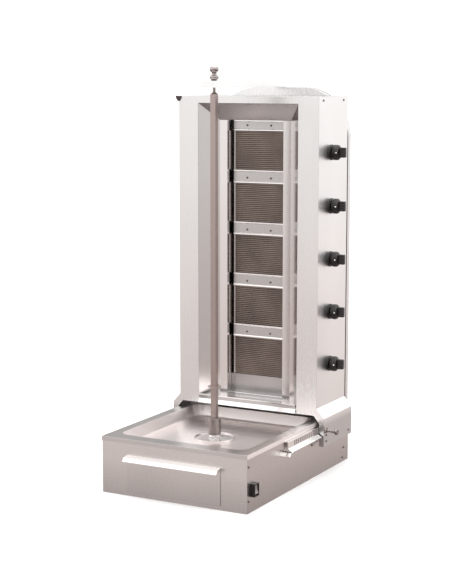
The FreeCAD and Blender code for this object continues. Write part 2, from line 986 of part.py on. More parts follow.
def top_pin():
    node(rod("z", "pin_radius", "pin_low", "pin_top", "0", "0"), "lift_pin")
    corners = [
        ("pin_radius", "spool_low"),
        ("spool_foot", "spool_low"),
        ("spool_foot", "spool_low + spool_foot_height"),
        ("spool_radius", "spool_low + spool_bead_low"),
        ("spool_radius", "spool_low + spool_bead_high"),
        ("spool_waist", "spool_low + spool_waist_low"),
        ("spool_waist", "spool_top - spool_waist_drop"),
        ("spool_radius", "spool_top - spool_crown_drop"),
        ("spool_radius", "spool_top - spool_crown"),
        ("spool_radius - spool_crown", "spool_top"),
        ("0", "spool_top"),
        ("0", "pin_top"),
        ("pin_radius", "pin_top"),
    ]
    node(turned(corners), "pin_knob")


# ---------------------------------------------------------------- burner tower

def side_panel(right):
    """Side sheet of the tower, with the shoulder and skirt that hang over the base."""
    corners = [
        ("tower_half", "tower_top"),
        ("tower_half", "skirt_shoulder"),
        ("skirt_half", "skirt_bend"),
        ("skirt_half", "skirt_low"),
        ("skirt_half - gauge", "skirt_low"),
        ("skirt_half - gauge", "skirt_bend - gauge / 2"),
        ("tower_half - gauge", "skirt_shoulder - gauge / 2"),
        ("tower_half - gauge", "tower_top"),
    ]
    sheet_metal = bent_y(corners, "tower_front + gauge", "tower_rear")
    if right:
        inside, outside = "tower_half - gauge - overshoot", "tower_half + overshoot"
        holes = [rod("x", "spindle_hole", inside, outside, "valve_y", burner_z(i)) for i in range(BURNERS)]
        inside, outside = "skirt_half - gauge - overshoot", "skirt_half + overshoot"
        holes.append(rod("x", "bushing_body", inside, outside, "lock_y", "lock_z"))
        return node(cut(sheet_metal, *holes), "side_panel_right")
    outside, inside = "-tower_half - overshoot", "-tower_half + gauge + overshoot"
    inlet_hole = rod("x", "inlet_hole", outside, inside, "manifold_y", "inlet_z")
    return node(cut(mirrored(sheet_metal), inlet_hole), "side_panel_left")


def front_frame():
    """One sheet: posts, lintel, apron, and the flanges before the skirts, notched for the rails."""
    flange = "skirt_half - skirt_flange"
    half = [
        ("tower_half", "tower_top"),
        ("tower_half", "skirt_shoulder"),
        ("skirt_half", "skirt_bend"),
        ("skirt_half", "skirt_low"),
        (flange, "skirt_low"),
        (flange, "notch_low + notch_rise"),
        ("notch_outer", "notch_low"),
        ("notch_outer", "notch_low + notch_height"),
        (flange, "notch_low + notch_rise + notch_height"),
        (flange, "flange_shoulder"),
        ("apron_end", "tower_low"),
    ]
    other = [("-(%s)" % across, up) for across, up in reversed(half)]
    plate = bent_y(half + other, "tower_front", "tower_front + gauge")
    window = block(
        both("window_half"),
        ("tower_front - overshoot", "tower_front + gauge + overshoot"),
        ("window_low", "window_top"),
    )
    node(cut(plate, window), "front_frame")


def cavity_plan():
    """The cavity seen from above: a funnel from the window to the recess in front of the burners."""
    half = [
        ("window_half", "tower_front + gauge"),
        ("reflector_inner", "recess_front"),
        ("recess_half", "recess_front"),
        ("recess_half", "recess_rear"),
    ]
    other = [("-(%s)" % across, along) for across, along in reversed(half)]
    return bent_z(half + other, "skirt_bend", "tower_top")


def reflectors():
    front = "tower_front + gauge"
    low_edge = "window_top - reflector_depth"
    ceiling = [
        (front, "window_top"),
        ("recess_front", low_edge),
        ("recess_rear", low_edge),
        ("recess_rear", low_edge + " + thin_gauge"),
        ("recess_front + thin_gauge / 2", low_edge + " + thin_gauge"),
        (front, "window_top + thin_gauge * ceiling_mitre"),
    ]
    node(common(bent_x(ceiling, *both("window_half")), cavity_plan()), "ceiling_reflector")
    side = [
        ("window_half", front),
        ("reflector_inner", "recess_front"),
        ("recess_half", "recess_front"),
        ("recess_half", "recess_rear"),
        ("recess_half + thin_gauge", "recess_rear"),
        ("recess_half + thin_gauge", "recess_front + thin_gauge"),
        ("reflector_inner + thin_gauge / 2", "recess_front + thin_gauge"),
        ("window_half + thin_gauge * side_mitre", front),
    ]
    above = [
        ("tower_front", "window_top + gauge"),
        ("recess_front", low_edge),
        ("recess_rear + overshoot", low_edge),
        ("recess_rear + overshoot", "tower_top"),
        ("tower_front", "tower_top"),
    ]
    wall = cut(
        bent_z(side, "window_low + thin_gauge", "window_top"),
        bent_x(above, "0", "window_half + 2 * thin_gauge"),
    )
    node(wall, "side_reflector_right")
    node(mirrored(wall), "side_reflector_left")
    floor = [
        (front, "window_low"),
        (front, "window_low + thin_gauge"),
        ("blank_front - 2 * thin_gauge", "window_low + thin_gauge"),
        ("blank_front - 2 * thin_gauge", "window_low + floor_lip"),
        ("blank_front - thin_gauge", "window_low + floor_lip"),
        ("blank_front - thin_gauge", "window_low"),
    ]
    plate = common(bent_x(floor, *both("window_half")), cavity_plan())
    sill = [
        ("sill_foot", "sill_low"),
        ("sill_waist", "sill_waist_z"),
        ("sill_brow", "sill_brow_z"),
        ("sill_brow", "sill_top"),
        (front + " + thin_gauge", "sill_top"),
        (front + " + thin_gauge", "window_low"),
        (front, "window_low"),
        (front, "sill_top - thin_gauge"),
        ("sill_brow + thin_gauge", "sill_top - thin_gauge"),
        ("sill_brow + thin_gauge", "sill_brow_z"),
        ("sill_waist + thin_gauge", "sill_waist_z"),
        ("sill_foot + thin_gauge", "sill_low"),
    ]
    node(join(plate, bent_x(sill, *both("window_half - sill_gap"))), "cavity_floor")
    blank = block(
        both("recess_half - crossbar_gap"),
        ("blank_front", "blank_front + thin_gauge"),
        ("window_low", "%s - mesh_height / 2 - crossbar_gap" % burner_z(BURNERS - 1)),
    )
    node(blank, "blank_panel")


def tower_covers():
    """Top with two rows of vents, rear and floor sheets."""
    inner = "tower_half - gauge - lip_clearance"
    front, rear = "tower_front + gauge", "tower_rear - gauge"
    top = block(both(inner), (front, rear), ("tower_top - gauge", "tower_top"))
    slots = []
    for index in range(VENTS):
        across = "vent_first + %d * vent_pitch" % index
        slots.append(
            block(
                (across + " - vent_half_width", across + " + vent_half_width"),
                ("vent_front", "vent_rear"),
                ("tower_top - gauge - overshoot", "tower_top + overshoot"),
            )
        )
    node(cut(top, *slots), "top_panel")
    node(block(both(inner), (rear, "tower_rear"), ("tower_low + gauge", "tower_top - gauge")), "rear_cover")
    node(block(both("floor_half"), (front, rear), ("tower_low", "tower_low + gauge")), "tower_floor")


def burners():
    """Five identical burners: a casting, a ceramic plate, a mesh and a crossbar above each."""
    castings, plates, meshes, bars = [], [], [], []
    for index in range(BURNERS):
        middle = burner_z(index)
        tall = ("%s - burner_half_height" % middle, "%s + burner_half_height" % middle)
        hollow = (tall[0] + " + burner_wall", tall[1] + " - burner_wall")
        shell = block(both("burner_half"), ("burner_front", "burner_rear"), tall)
        venturi = rod("y", "venturi_radius", "burner_rear - overshoot", "venturi_rear", "0", middle)
        chamber = block(
            both("burner_half - burner_wall"),
            ("burner_front - overshoot", "burner_rear - burner_wall"),
            hollow,
        )
        castings.append(cut(join(shell, venturi), chamber))
        plates.append(block(both("burner_half - burner_wall"), ("ceramic_front", "ceramic_rear"), hollow))
        mesh = ("%s - mesh_height / 2" % middle, "%s + mesh_height / 2" % middle)
        meshes.append(block(both("mesh_half"), ("mesh_front", "mesh_front + mesh_gauge"), mesh))
        bars.append(crossbar(index, mesh[1]))
    node(group(*castings), "burner_bodies")
    node(group(*plates), "ceramic_plates")
    node(group(*meshes), "mesh_screens")
    node(group(*bars), "crossbars")


def crossbar(index, mesh_top):
    """Channel across the recess from one mesh's top to the next mesh's bottom, or to the ceiling."""
    top = "%s - mesh_height / 2 - crossbar_gap" % burner_z(index - 1)
    if index == 0:
        top = "window_top - reflector_depth - crossbar_gap"
    low = "%s + crossbar_gap" % mesh_top
    corners = [
        ("crossbar_front", low),
        ("crossbar_front", top),
        ("mesh_front", top),
        ("mesh_front", top + " - thin_gauge"),
        ("crossbar_front + thin_gauge", top + " - thin_gauge"),
        ("crossbar_front + thin_gauge", low + " + thin_gauge"),
        ("mesh_front", low + " + thin_gauge"),
        ("mesh_front", low),
    ]
    return bent_x(corners, *both("recess_half - crossbar_gap"))


def gas_line():
    """Inlet, manifold, five valves and the pipe from each valve to its burner."""
    pipe = rod("z", "manifold_radius", "manifold_low", "manifold_top", "manifold_x", "manifold_y")
    stubs, valves, pipes = [], [], []
    for index in range(BURNERS):
        middle = burner_z(index)
        stubs.append(rod("y", "manifold_stub", "valve_y + valve_half", "manifold_y", "manifold_x", middle))
        case = block(
            ("valve_inner", "valve_outer"),
            ("valve_y - valve_half", "valve_y + valve_half"),
            ("%s - valve_half" % middle, "%s + valve_half" % middle),
        )
        mouth = "valve_outer + overshoot"
        bore = rod("x", "spindle_radius + running_gap", "valve_bore_low", mouth, "valve_y", middle)
        valves.append(cut(case, bore))
        pipes.append(rod("x", "pipe_radius", "burner_half", "valve_inner", "pipe_y", middle))
    node(join(pipe, *stubs), "gas_manifold")
    node(group(*valves), "gas_valves")
    node(group(*pipes), "burner_pipes")
    tube = rod("x", "inlet_pipe", "inlet_shoulder", "manifold_x - manifold_radius", "manifold_y", "inlet_z")
    nut = rod("x", "inlet_nut", "inlet_nut_outer", "inlet_nut_inner", "manifold_y", "inlet_z")
    thread = rod("x", "inlet_thread", "inlet_end", "inlet_shoulder", "manifold_y", "inlet_z")
    bore_end = "manifold_x - manifold_radius - inlet_wall"
    bore = rod("x", "inlet_bore", "inlet_end - overshoot", bore_end, "manifold_y", "inlet_z")
    saddle = rod("z", "manifold_radius", "manifold_low", "manifold_top", "manifold_x", "manifold_y")
    node(cut(join(tube, nut, thread), bore, saddle), "gas_inlet")


def valve_knob(index):
    middle = burner_z(index)
    spindle = rod("x", "spindle_radius", "spindle_inner", "spindle_outer", "valve_y", middle)
    node(spindle, "valve_spindle_%d" % (index + 1))
    corners = [
        ("0", "knob_back"),
        ("knob_skirt - knob_edge", "knob_back"),
        ("knob_skirt", "knob_back + knob_edge"),
        ("knob_skirt", "knob_skirt_end"),
        ("knob_cone", "knob_cone_end"),
        ("0", "knob_cone_end"),
    ]
    skirt = turned(corners, "x", ("0", "valve_y", middle))
    grip = block(
        ("knob_skirt_end", "knob_end"),
        ("valve_y - grip_half_thickness", "valve_y + grip_half_thickness"),
        ("%s - grip_half_height" % middle, "%s + grip_half_height" % middle),
    )
    bore_end = "spindle_outer + spindle_end_gap"
    bore = rod("x", "spindle_radius + running_gap", "knob_back - overshoot", bore_end, "valve_y", middle)
    node(cut(join(skirt, grip), bore), "knob_%d" % (index + 1))


def knob_bezels():
    rings = []
    for index in range(BURNERS):
        middle = burner_z(index)
        ring = rod("x", "bezel_radius", "tower_half", "tower_half + bezel_height", "valve_y", middle)
        inside, outside = "tower_half - overshoot", "tower_half + bezel_height + overshoot"
        hole = rod("x", "bezel_bore", inside, outside, "valve_y", middle)
        rings.append(cut(ring, hole))
    node(group(*rings), "knob_bezels")


def tower_lock():
    """Spring plunger on the right skirt: a flanged bushing and a sliding pin with a round knob."""
    bore = "lock_shaft + running_gap"
    bushing = [
        (bore, "bushing_inner"),
        ("bushing_body", "bushing_inner"),
        ("bushing_body", "skirt_half"),
        ("bushing_flange", "skirt_half"),
        ("bushing_flange", "bushing_outer"),
        (bore, "bushing_outer"),
    ]
    node(turned(bushing, "x", ("0", "lock_y", "lock_z")), "lock_bushing")
    plunger = [
        ("0", "lock_tip_end"),
        ("lock_tip", "lock_tip_end"),
        ("lock_tip", "lock_shaft_inner"),
        ("lock_shaft", "lock_shaft_inner"),
        ("lock_shaft", "lock_knob_inner - lock_knob_cone"),
        ("lock_knob", "lock_knob_inner"),
        ("lock_knob", "lock_knob_outer - lock_knob_edge"),
        ("lock_knob - lock_knob_edge", "lock_knob_outer"),
        ("0", "lock_knob_outer"),
    ]
    node(turned(plunger, "x", ("0", "lock_y", "lock_z")), "lock_plunger")


def glide_blocks():
    """Four plastic blocks inside the skirts, hooked over and under the rails' shelves."""
    outer = "skirt_half - gauge - lip_clearance"
    slot_outer = "base_half + rail_reach + glide_clearance"
    corners = [
        ("glide_inner", "glide_low"),
        (outer, "glide_low"),
        (outer, "glide_top"),
        ("glide_inner", "glide_top"),
        ("glide_inner", "rail_fold"),
        (slot_outer, "rail_edge + glide_clearance"),
        (slot_outer, "rail_edge_under - 5 * glide_clearance"),
        ("glide_inner", "rail_fold_under - rail_gauge - 2 * glide_clearance"),
    ]
    blocks = []
    for step in range(2):
        front = "glide_front + %d * glide_spacing" % step
        right = bent_y(corners, front, front + " + glide_length")
        blocks += [right, mirrored(right)]
    node(group(*blocks), "glide_blocks")


def corner_lug():
    """Shield-shaped lug on the top left corner of the front frame: flat above, pointed below."""
    half = [
        ("lug_half", "tower_top"),
        ("lug_waist", "tower_top - lug_waist_drop"),
        ("lug_tip", "tower_top - lug_tip_drop"),
    ]
    right = [("-tower_half + %s" % across, up) for across, up in half]
    left = [("-tower_half - %s" % across, up) for across, up in reversed(half)]
    foot = [("-tower_half", "tower_top - lug_height")]
    node(bent_y(right + foot + left, "tower_front - lug_thickness", "tower_front"), "corner_lug")


def tower_screws():
    skirt_spots = (
        ("skirt_screw_front", "skirt_screw_high"),
        ("skirt_screw_front", "skirt_screw_low"),
        ("skirt_screw_rear", "skirt_screw_low"),
    )
    heads = []
    for side in ("tower_half", "-tower_half"):
        for along in ("panel_screw_front", "panel_screw_rear"):
            heads.append(screw("x", side, along, "tower_top - panel_screw_drop"))
    for side in ("skirt_half", "-skirt_half"):
        for along, up in skirt_spots:
            heads.append(screw("x", side, along, up))
    for index in range(BURNERS):
        up = "%s + mesh_height / 2 + bar_screw_rise" % burner_z(index)
        for across in both("bar_screw_x"):
            heads.append(screw("y", "crossbar_front - screw_height", across, up))
    node(group(*heads), "tower_screws")


# ---------------------------------------------------------------- assembly

base_casing()
bottom_plate()
drip_tray()
tray_ring()
shaft_bearing()
drawer_runners()
slide_rails()
arm_column()
back_panel()
top_arm()
gearmotor()
power_switch()
wiring()
base_screws()
drawer()
spit()
top_pin()
side_panel(right=True)
side_panel(right=False)
front_frame()
reflectors()
tower_covers()
burners()
gas_line()
for number in range(BURNERS):
    valve_knob(number)
knob_bezels()
tower_lock()
glide_blocks()
corner_lug()
tower_screws()
doc.recompute()


def check():
    """Stops the build if anything in the document failed or a piece is empty or broken."""
    for thing in doc.Objects:
        if "Invalid" in thing.State or "Error" in thing.State:
            raise RuntimeError("%s (%s) failed: %s" % (thing.Name, thing.Label, thing.State))
    for piece in NODES:
        if piece.Shape.isNull() or not piece.Shape.isValid():
            raise RuntimeError("%s has no valid shape" % piece.Label)
        for solid in piece.Shape.Solids:
            if not solid.isClosed():
                raise RuntimeError("%s is not closed" % piece.Label)


def export():
    os.makedirs("parts", exist_ok=True)
    for piece in NODES:
        piece.Shape.exportStep("parts/%s.step" % piece.Label)
        box = piece.Shape.BoundBox
        print(
            "%-22s %2d solids  x %7.1f %7.1f  y %7.1f %7.1f  z %7.1f %7.1f"
            % (piece.Label, len(piece.Shape.Solids), box.XMin, box.XMax, box.YMin, box.YMax, box.ZMin, box.ZMax)
        )


check()
export()
print(len(NODES), "nodes")
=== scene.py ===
import math

import bmesh
import bpy
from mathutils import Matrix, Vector


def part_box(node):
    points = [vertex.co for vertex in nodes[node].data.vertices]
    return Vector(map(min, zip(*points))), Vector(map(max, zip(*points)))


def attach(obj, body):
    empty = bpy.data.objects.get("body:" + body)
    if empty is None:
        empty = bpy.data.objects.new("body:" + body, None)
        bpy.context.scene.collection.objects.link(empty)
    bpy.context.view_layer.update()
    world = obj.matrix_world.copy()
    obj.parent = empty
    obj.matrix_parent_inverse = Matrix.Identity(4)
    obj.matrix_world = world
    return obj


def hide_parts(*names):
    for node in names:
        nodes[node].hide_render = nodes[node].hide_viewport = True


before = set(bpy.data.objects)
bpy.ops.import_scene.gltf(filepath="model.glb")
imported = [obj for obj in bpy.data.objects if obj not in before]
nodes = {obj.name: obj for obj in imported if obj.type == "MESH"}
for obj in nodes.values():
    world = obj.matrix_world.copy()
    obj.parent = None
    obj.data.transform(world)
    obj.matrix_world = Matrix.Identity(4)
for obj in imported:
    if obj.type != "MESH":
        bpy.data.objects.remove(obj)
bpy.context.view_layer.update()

MM = 0.001
KNOBS = range(1, 6)


# ---------------------------------------------------------------- stage

CAMERA_SPOT = Vector((1.967, -3.544, 1.147))
CAMERA_AZIMUTH = math.radians(28.57)
CAMERA_DOWN = math.radians(8.36)
LENS_MM = 89.76
SENSOR_MM = 36
SIGHT_END = 200

FLOOR_REACH = 80
FLOOR_TONE = 0.93

# the studio round the object, as it shows in the steel: (height of the direction, brightness)
STUDIO_HEIGHTS = (
    (-1.0, 0.45),
    (-0.34, 0.50),
    (-0.24, 0.68),
    (-0.10, 0.95),
    (-0.03, 1.12),
    (0.02, 1.20),
    (0.20, 1.35),
    (0.50, 1.70),
    (1.0, 1.70),
)
# its lower part is rosy, its upper part neutral
STUDIO_LOW = (1.10, 0.97, 0.93)
STUDIO_HIGH = (1.0, 0.995, 0.985)
STUDIO_TINT_HEIGHTS = (-0.20, -0.03)
# and the side in front and to the right is dimmer
DIM_SIDE = Vector((0.88, -0.47, 0))
DIM_SHARE = 0.70
DIM_FADE = (0.4, 0.95)
# low over the horizon behind and to the left there is a dark patch, which the tray's rim reflects
PATCH_SPOT = Vector((-0.46, 0.85, 0.26))
PATCH_SHARE = 0.30
PATCH_FADE = (0.80, 0.96)
PATCH_HEIGHTS = ((0.07, 0.15), (0.44, 0.56))


def camera():
    data = bpy.data.cameras.new("camera")
    data.lens = LENS_MM
    data.sensor_width = SENSOR_MM
    data.clip_end = SIGHT_END
    thing = bpy.data.objects.new("camera", data)
    thing.location = CAMERA_SPOT
    thing.rotation_euler = (math.pi / 2 - CAMERA_DOWN, 0, CAMERA_AZIMUTH)
    bpy.context.scene.collection.objects.link(thing)
    bpy.context.scene.camera = thing


def area_light(name, spot, target, width, height, power):
    data = bpy.data.lights.new(name, "AREA")
    data.shape = "RECTANGLE"
    data.size = width
    data.size_y = height
    data.energy = power
    thing = bpy.data.objects.new(name, data)
    thing.location = spot
    thing.rotation_euler = (Vector(target) - Vector(spot)).to_track_quat("-Z", "Y").to_euler()
    bpy.context.scene.collection.objects.link(thing)


def lights():
    area_light("left_key", (-3.0, -1.6, 2.6), (0, 0.1, 0.6), 1.6, 1.6, 14)
    area_light("right_fill", (3.4, 1.2, 2.2), (0, 0.2, 0.6), 1.4, 2.0, 12)
    area_light("overhead", (0.2, 0.2, 3.6), (0, 0.1, 0), 2.0, 2.0, 20)


def studio():
    """White behind the object, and a soft grey-to-white room for everything that it reflects."""
    scene = bpy.context.scene
    scene.view_settings.view_transform = "Standard"
    scene.world = bpy.data.worlds.new("world")
    scene.world.use_nodes = True
    tree = scene.world.node_tree
    direction = tree.nodes.new("ShaderNodeTexCoord").outputs["Generated"]
    parts = tree.nodes.new("ShaderNodeSeparateXYZ")
    tree.links.new(direction, parts.inputs["Vector"])
    height = tree.nodes.new("ShaderNodeFloatCurve")
    tree.links.new(spread(tree, parts.outputs["Z"], (-1, 1), (0, 1)), height.inputs["Value"])
    curve = height.mapping.curves[0]
    top = STUDIO_HEIGHTS[-1][1]
    ends = curve.points[0], curve.points[-1]
    ends[0].location = (0, STUDIO_HEIGHTS[0][1] / top)
    ends[1].location = (1, 1)
    for up, bright in STUDIO_HEIGHTS[1:-1]:
        curve.points.new((up + 1) / 2, bright / top)
    height.mapping.update()
    dimmed = spread(tree, towards(tree, direction, DIM_SIDE), DIM_FADE, (top, top * DIM_SHARE))
    patch = spread(tree, towards(tree, direction, PATCH_SPOT), PATCH_FADE, (0, 1))
    rise, fall = PATCH_HEIGHTS
    patch = product(tree, patch, spread(tree, parts.outputs["Z"], rise, (0, 1)))
    patch = product(tree, patch, spread(tree, parts.outputs["Z"], fall, (1, 0)))
    strength = product(tree, height.outputs["Value"], dimmed)
    strength = product(tree, strength, spread(tree, patch, (0, 1), (1, PATCH_SHARE)))
    room = tree.nodes["Background"]
    tree.links.new(strength, room.inputs["Strength"])
    tint = tree.nodes.new("ShaderNodeMix")
    tint.data_type = "RGBA"
    low, high = [item for item in tint.inputs if item.type == "RGBA"]
    low.default_value = (*STUDIO_LOW, 1)
    high.default_value = (*STUDIO_HIGH, 1)
    share = spread(tree, parts.outputs["Z"], STUDIO_TINT_HEIGHTS, (0, 1))
    tree.links.new(share, tint.inputs["Factor"])
    tree.links.new(next(item for item in tint.outputs if item.type == "RGBA"), room.inputs["Color"])


def product(tree, first, second):
    node = tree.nodes.new("ShaderNodeMath")
    node.operation = "MULTIPLY"
    tree.links.new(first, node.inputs[0])
    tree.links.new(second, node.inputs[1])
    return node.outputs["Value"]


def towards(tree, direction, target):
    """1 where a direction points at the target, falling to 0 at right angles to it."""
    node = tree.nodes.new("ShaderNodeVectorMath")
    node.operation = "DOT_PRODUCT"
    node.inputs[1].default_value = target
    tree.links.new(direction, node.inputs[0])
    return node.outputs["Value"]


def spread(tree, factor, source, target):
    """Maps a value from one range to another."""
    node = tree.nodes.new("ShaderNodeMapRange")
    node.inputs["From Min"].default_value, node.inputs["From Max"].default_value = source
    node.inputs["To Min"].default_value, node.inputs["To Max"].default_value = target
    tree.links.new(factor, node.inputs["Value"])
    return node.outputs["Result"]


def floor():
    corners = [(-FLOOR_REACH, -FLOOR_REACH, 0), (FLOOR_REACH, -FLOOR_REACH, 0)]
    corners += [(FLOOR_REACH, FLOOR_REACH, 0), (-FLOOR_REACH, FLOOR_REACH, 0)]
    mesh = bpy.data.meshes.new("floor")
    mesh.from_pydata(corners, [], [(0, 1, 2, 3)])
    thing = bpy.data.objects.new("floor", mesh)
    thing.visible_glossy = False
    bpy.context.scene.collection.objects.link(thing)
    paint = bpy.data.materials.new("floor")
    paint.use_nodes = True
    shader = paint.node_tree.nodes["Principled BSDF"]
    shader.inputs["Base Color"].default_value = (FLOOR_TONE, FLOOR_TONE, FLOOR_TONE, 1)
    shader.inputs["Roughness"].default_value = 0.9
    mesh.materials.append(paint)


# ---------------------------------------------------------------- materials

class Paint:
    """A material under construction, with short calls for its nodes."""

    def __init__(self, name, **values):
        self.material = bpy.data.materials.new(name)
        self.material.use_nodes = True
        self.tree = self.material.node_tree
        self.shader = self.tree.nodes["Principled BSDF"]
        self.coordinates = self.tree.nodes.new("ShaderNodeTexCoord").outputs["Object"]
        for socket, value in values.items():
            self.shader.inputs[socket.replace("_", " ")].default_value = value

    def stretch(self, scale):
        mapping = self.tree.nodes.new("ShaderNodeMapping")
        mapping.inputs["Scale"].default_value = scale
        self.tree.links.new(self.coordinates, mapping.inputs["Vector"])
        return mapping.outputs["Vector"]

    def noise(self, scale, detail=4, rough=0.55):
        node = self.tree.nodes.new("ShaderNodeTexNoise")
        node.inputs["Scale"].default_value = 1
        node.inputs["Detail"].default_value = detail
        node.inputs["Roughness"].default_value = rough
        self.tree.links.new(self.stretch(scale), node.inputs["Vector"])
        return node.outputs["Fac"]

    def cells(self, scale):
        """Distance to the nearest of a field of scattered points."""
        node = self.tree.nodes.new("ShaderNodeTexVoronoi")
        node.inputs["Scale"].default_value = 1
        self.tree.links.new(self.stretch(scale), node.inputs["Vector"])
        return node.outputs["Distance"]

    def facing(self, axis):
        """0 to 1 as the surface turns to face along the axis, either way."""
        geometry = self.tree.nodes.new("ShaderNodeNewGeometry")
        parts = self.tree.nodes.new("ShaderNodeSeparateXYZ")
        self.tree.links.new(geometry.outputs["Normal"], parts.inputs["Vector"])
        return self.math("ABSOLUTE", parts.outputs[axis])

    def place(self, axis):
        """Where the surface is along an axis, in metres."""
        parts = self.tree.nodes.new("ShaderNodeSeparateXYZ")
        self.tree.links.new(self.coordinates, parts.inputs["Vector"])
        return parts.outputs[axis]

    def math(self, operation, *terms):
        node = self.tree.nodes.new("ShaderNodeMath")
        node.operation = operation
        for index, term in enumerate(terms):
            if isinstance(term, (int, float)):
                node.inputs[index].default_value = term
            else:
                self.tree.links.new(term, node.inputs[index])
        return node.outputs["Value"]

    def ramp(self, factor, low, high, start=0.3, end=0.7):
        return spread(self.tree, factor, (start, end), (low, high))

    def tint(self, factor, dark, light):
        """A colour between two others; each is three numbers or another colour output."""
        node = self.tree.nodes.new("ShaderNodeMix")
        node.data_type = "RGBA"
        for socket, colour in (("A", dark), ("B", light)):
            place = next(item for item in node.inputs if item.name == socket and item.type == "RGBA")
            if isinstance(colour, tuple):
                place.default_value = (*colour, 1)
            else:
                self.tree.links.new(colour, place)
        self.tree.links.new(factor, node.inputs["Factor"])
        return next(item for item in node.outputs if item.type == "RGBA")

    def drive(self, name, output):
        self.tree.links.new(output, self.shader.inputs[name])

    def bump(self, height, depth):
        node = self.tree.nodes.new("ShaderNodeBump")
        node.inputs["Strength"].default_value = 1
        node.inputs["Distance"].default_value = depth
        self.tree.links.new(height, node.inputs["Height"])
        self.drive("Normal", node.outputs["Normal"])


LEVEL_GRAIN = (6, 6, 1400)
UPRIGHT_GRAIN = (1400, 1400, 6)
CROSS_GRAIN = (6, 1400, 1400)
PLAIN_GRAIN = (260, 260, 260)
# how much coarser than the grain the bands are, and the scales of patches and smudges, per metre
BAND_SHARE = 0.12
PATCH_SCALE = (4, 4, 2.5)
SMUDGE_SCALE = (22, 22, 16)


def warm(tone, warmth):
    """The slightly rosy grey that the steel has all over."""
    return (tone * (1 + warmth), tone * (1 - warmth * 0.35), tone * (1 - warmth * 0.65))


def steel(name, grain, tone, rough, warmth=0.03, depth=0.000001, side_shade_tone=None, shade_zones=(), satin=None):
    """Brushed steel: fine streaks along the grain, broad patches of tone, and faint smudges. The side
    shade tone is painted shade on the faces that face along X. A zone is painted shade too: it
    leaves only a share of the tone where each of its conditions holds, and fades out between their
    two limits. Satin is the roughness of the faces that don't lie level."""
    paint = Paint(name, Metallic=1)
    streaks = paint.noise(grain, detail=1)
    bands = paint.noise(tuple(length * BAND_SHARE for length in grain), detail=2)
    patches = paint.noise(PATCH_SCALE, detail=2)
    smudges = paint.noise(SMUDGE_SCALE, detail=5, rough=0.65)
    colour = paint.tint(paint.ramp(patches, 0, 1), warm(tone * 0.96, warmth), warm(tone * 1.03, warmth))
    colour = paint.tint(paint.ramp(bands, 0.1, 0), colour, warm(tone * 0.92, warmth))
    # painted shade: faces that face along X take a darker tone, the side shade tone
    if side_shade_tone:
        side = paint.ramp(paint.facing("X"), 0, 1, 0.6, 0.9)
        colour = paint.tint(side, colour, warm(side_shade_tone, warmth + 0.02))
    # painted shade: each zone darkens the colour where all its conditions hold
    for share, conditions in shade_zones:
        outside = 0
        for kind, axis, start, end in conditions:
            varies = paint.place(axis) if kind == "place" else paint.facing(axis)
            outside = paint.math("MAXIMUM", outside, paint.ramp(varies, 0, 1, start, end))
        colour = paint.tint(paint.ramp(outside, share, 1, 0, 1), (0, 0, 0), colour)
    paint.drive("Base Color", colour)
    gloss = paint.ramp(streaks, rough * 0.92, rough * 1.08)
    gloss = paint.math("ADD", gloss, paint.ramp(smudges, 0, 0.03, 0.5, 0.75))
    if satin:
        gloss = paint.math("MULTIPLY", gloss, paint.ramp(paint.facing("Z"), satin / rough, 1, 0.80, 0.97))
    paint.drive("Roughness", gloss)
    paint.bump(streaks, depth)
    return paint.material


def metal(name, dark, light, rough, scale=(60, 60, 60), depth=0.00004):
    """Cast, plated or painted metal with a mottled surface."""
    paint = Paint(name, Metallic=1)
    mottle = paint.noise(scale, detail=6)
    grit = paint.noise(tuple(length * 12 for length in scale), detail=3)
    paint.drive("Base Color", paint.tint(paint.ramp(mottle, 0, 1), dark, light))
    paint.drive("Roughness", paint.ramp(mottle, rough * 0.8, rough * 1.2))
    paint.bump(grit, depth)
    return paint.material


def moulded(name, dark, light, rough, depth=0.00003):
    """Moulded plastic with a fine spark-eroded texture and slightly shiny worn patches."""
    paint = Paint(name)
    grain = paint.noise((1300, 1300, 1300), detail=2)
    wear = paint.noise((70, 70, 70), detail=4)
    paint.drive("Base Color", paint.tint(paint.ramp(wear, 0, 1), dark, light))
    paint.drive("Roughness", paint.ramp(wear, rough * 0.8, rough * 1.2))
    paint.bump(grain, depth)
    return paint.material


def ceramic_paint():
    """Drilled ceramic plate, brown from heat, with painted shade: near-black spots where its small holes
    are, and a bump round them.
    """
    paint = Paint("ceramic", Roughness=0.9)
    heat = paint.noise((14, 14, 14), detail=5)
    colour = paint.tint(paint.ramp(heat, 0, 1), (0.07, 0.052, 0.043), (0.13, 0.10, 0.082))
    holes = paint.cells((420, 420, 420))
    # painted shade: near-black spots where the holes are, darkest at each hole's middle
    colour = paint.tint(paint.ramp(holes, 1, 0, 0.22, 0.40), colour, (0.015, 0.011, 0.01))
    paint.drive("Base Color", colour)
    paint.bump(paint.ramp(holes, 0, 1, 0.2, 0.5), 0.0006)
    return paint.material


def wire_paint():
    """Heat-resisting wire: dark, with straw-brown temper colours where it has been hottest, and darker
    scale.
    """
    paint = Paint("burner_wire", Metallic=1, Roughness=0.42)
    heat = paint.noise((11, 11, 11), detail=4)
    scale = paint.noise((500, 500, 500), detail=3)
    colour = paint.tint(paint.ramp(heat, 0, 1), (0.23, 0.185, 0.165), (0.36, 0.295, 0.26))
    colour = paint.tint(paint.ramp(scale, 0, 0.3), colour, (0.12, 0.09, 0.08))
    paint.drive("Base Color", colour)
    paint.bump(scale, 0.00005)
    return paint.material


# painted shade on the steel, zones that keep only a share of the tone: (share of the tone, ((what varies,
# axis, full, none), ...))
# painted shade, darker towards the floor
LOW_SHADE = (0.66, (("place", "Z", -0.02, 0.10),))
# painted shade, darker below the tower's skirt
SKIRT_SHADE = (0.68, (("place", "Z", 0.150, 0.172),))
# painted shade: faces that don't face front or back keep only a share of the tone, so the cover's edges and
# rims look dark
COVER_EDGE_SHADE = (0.22, (("facing", "Y", 0.25, 0.6),))
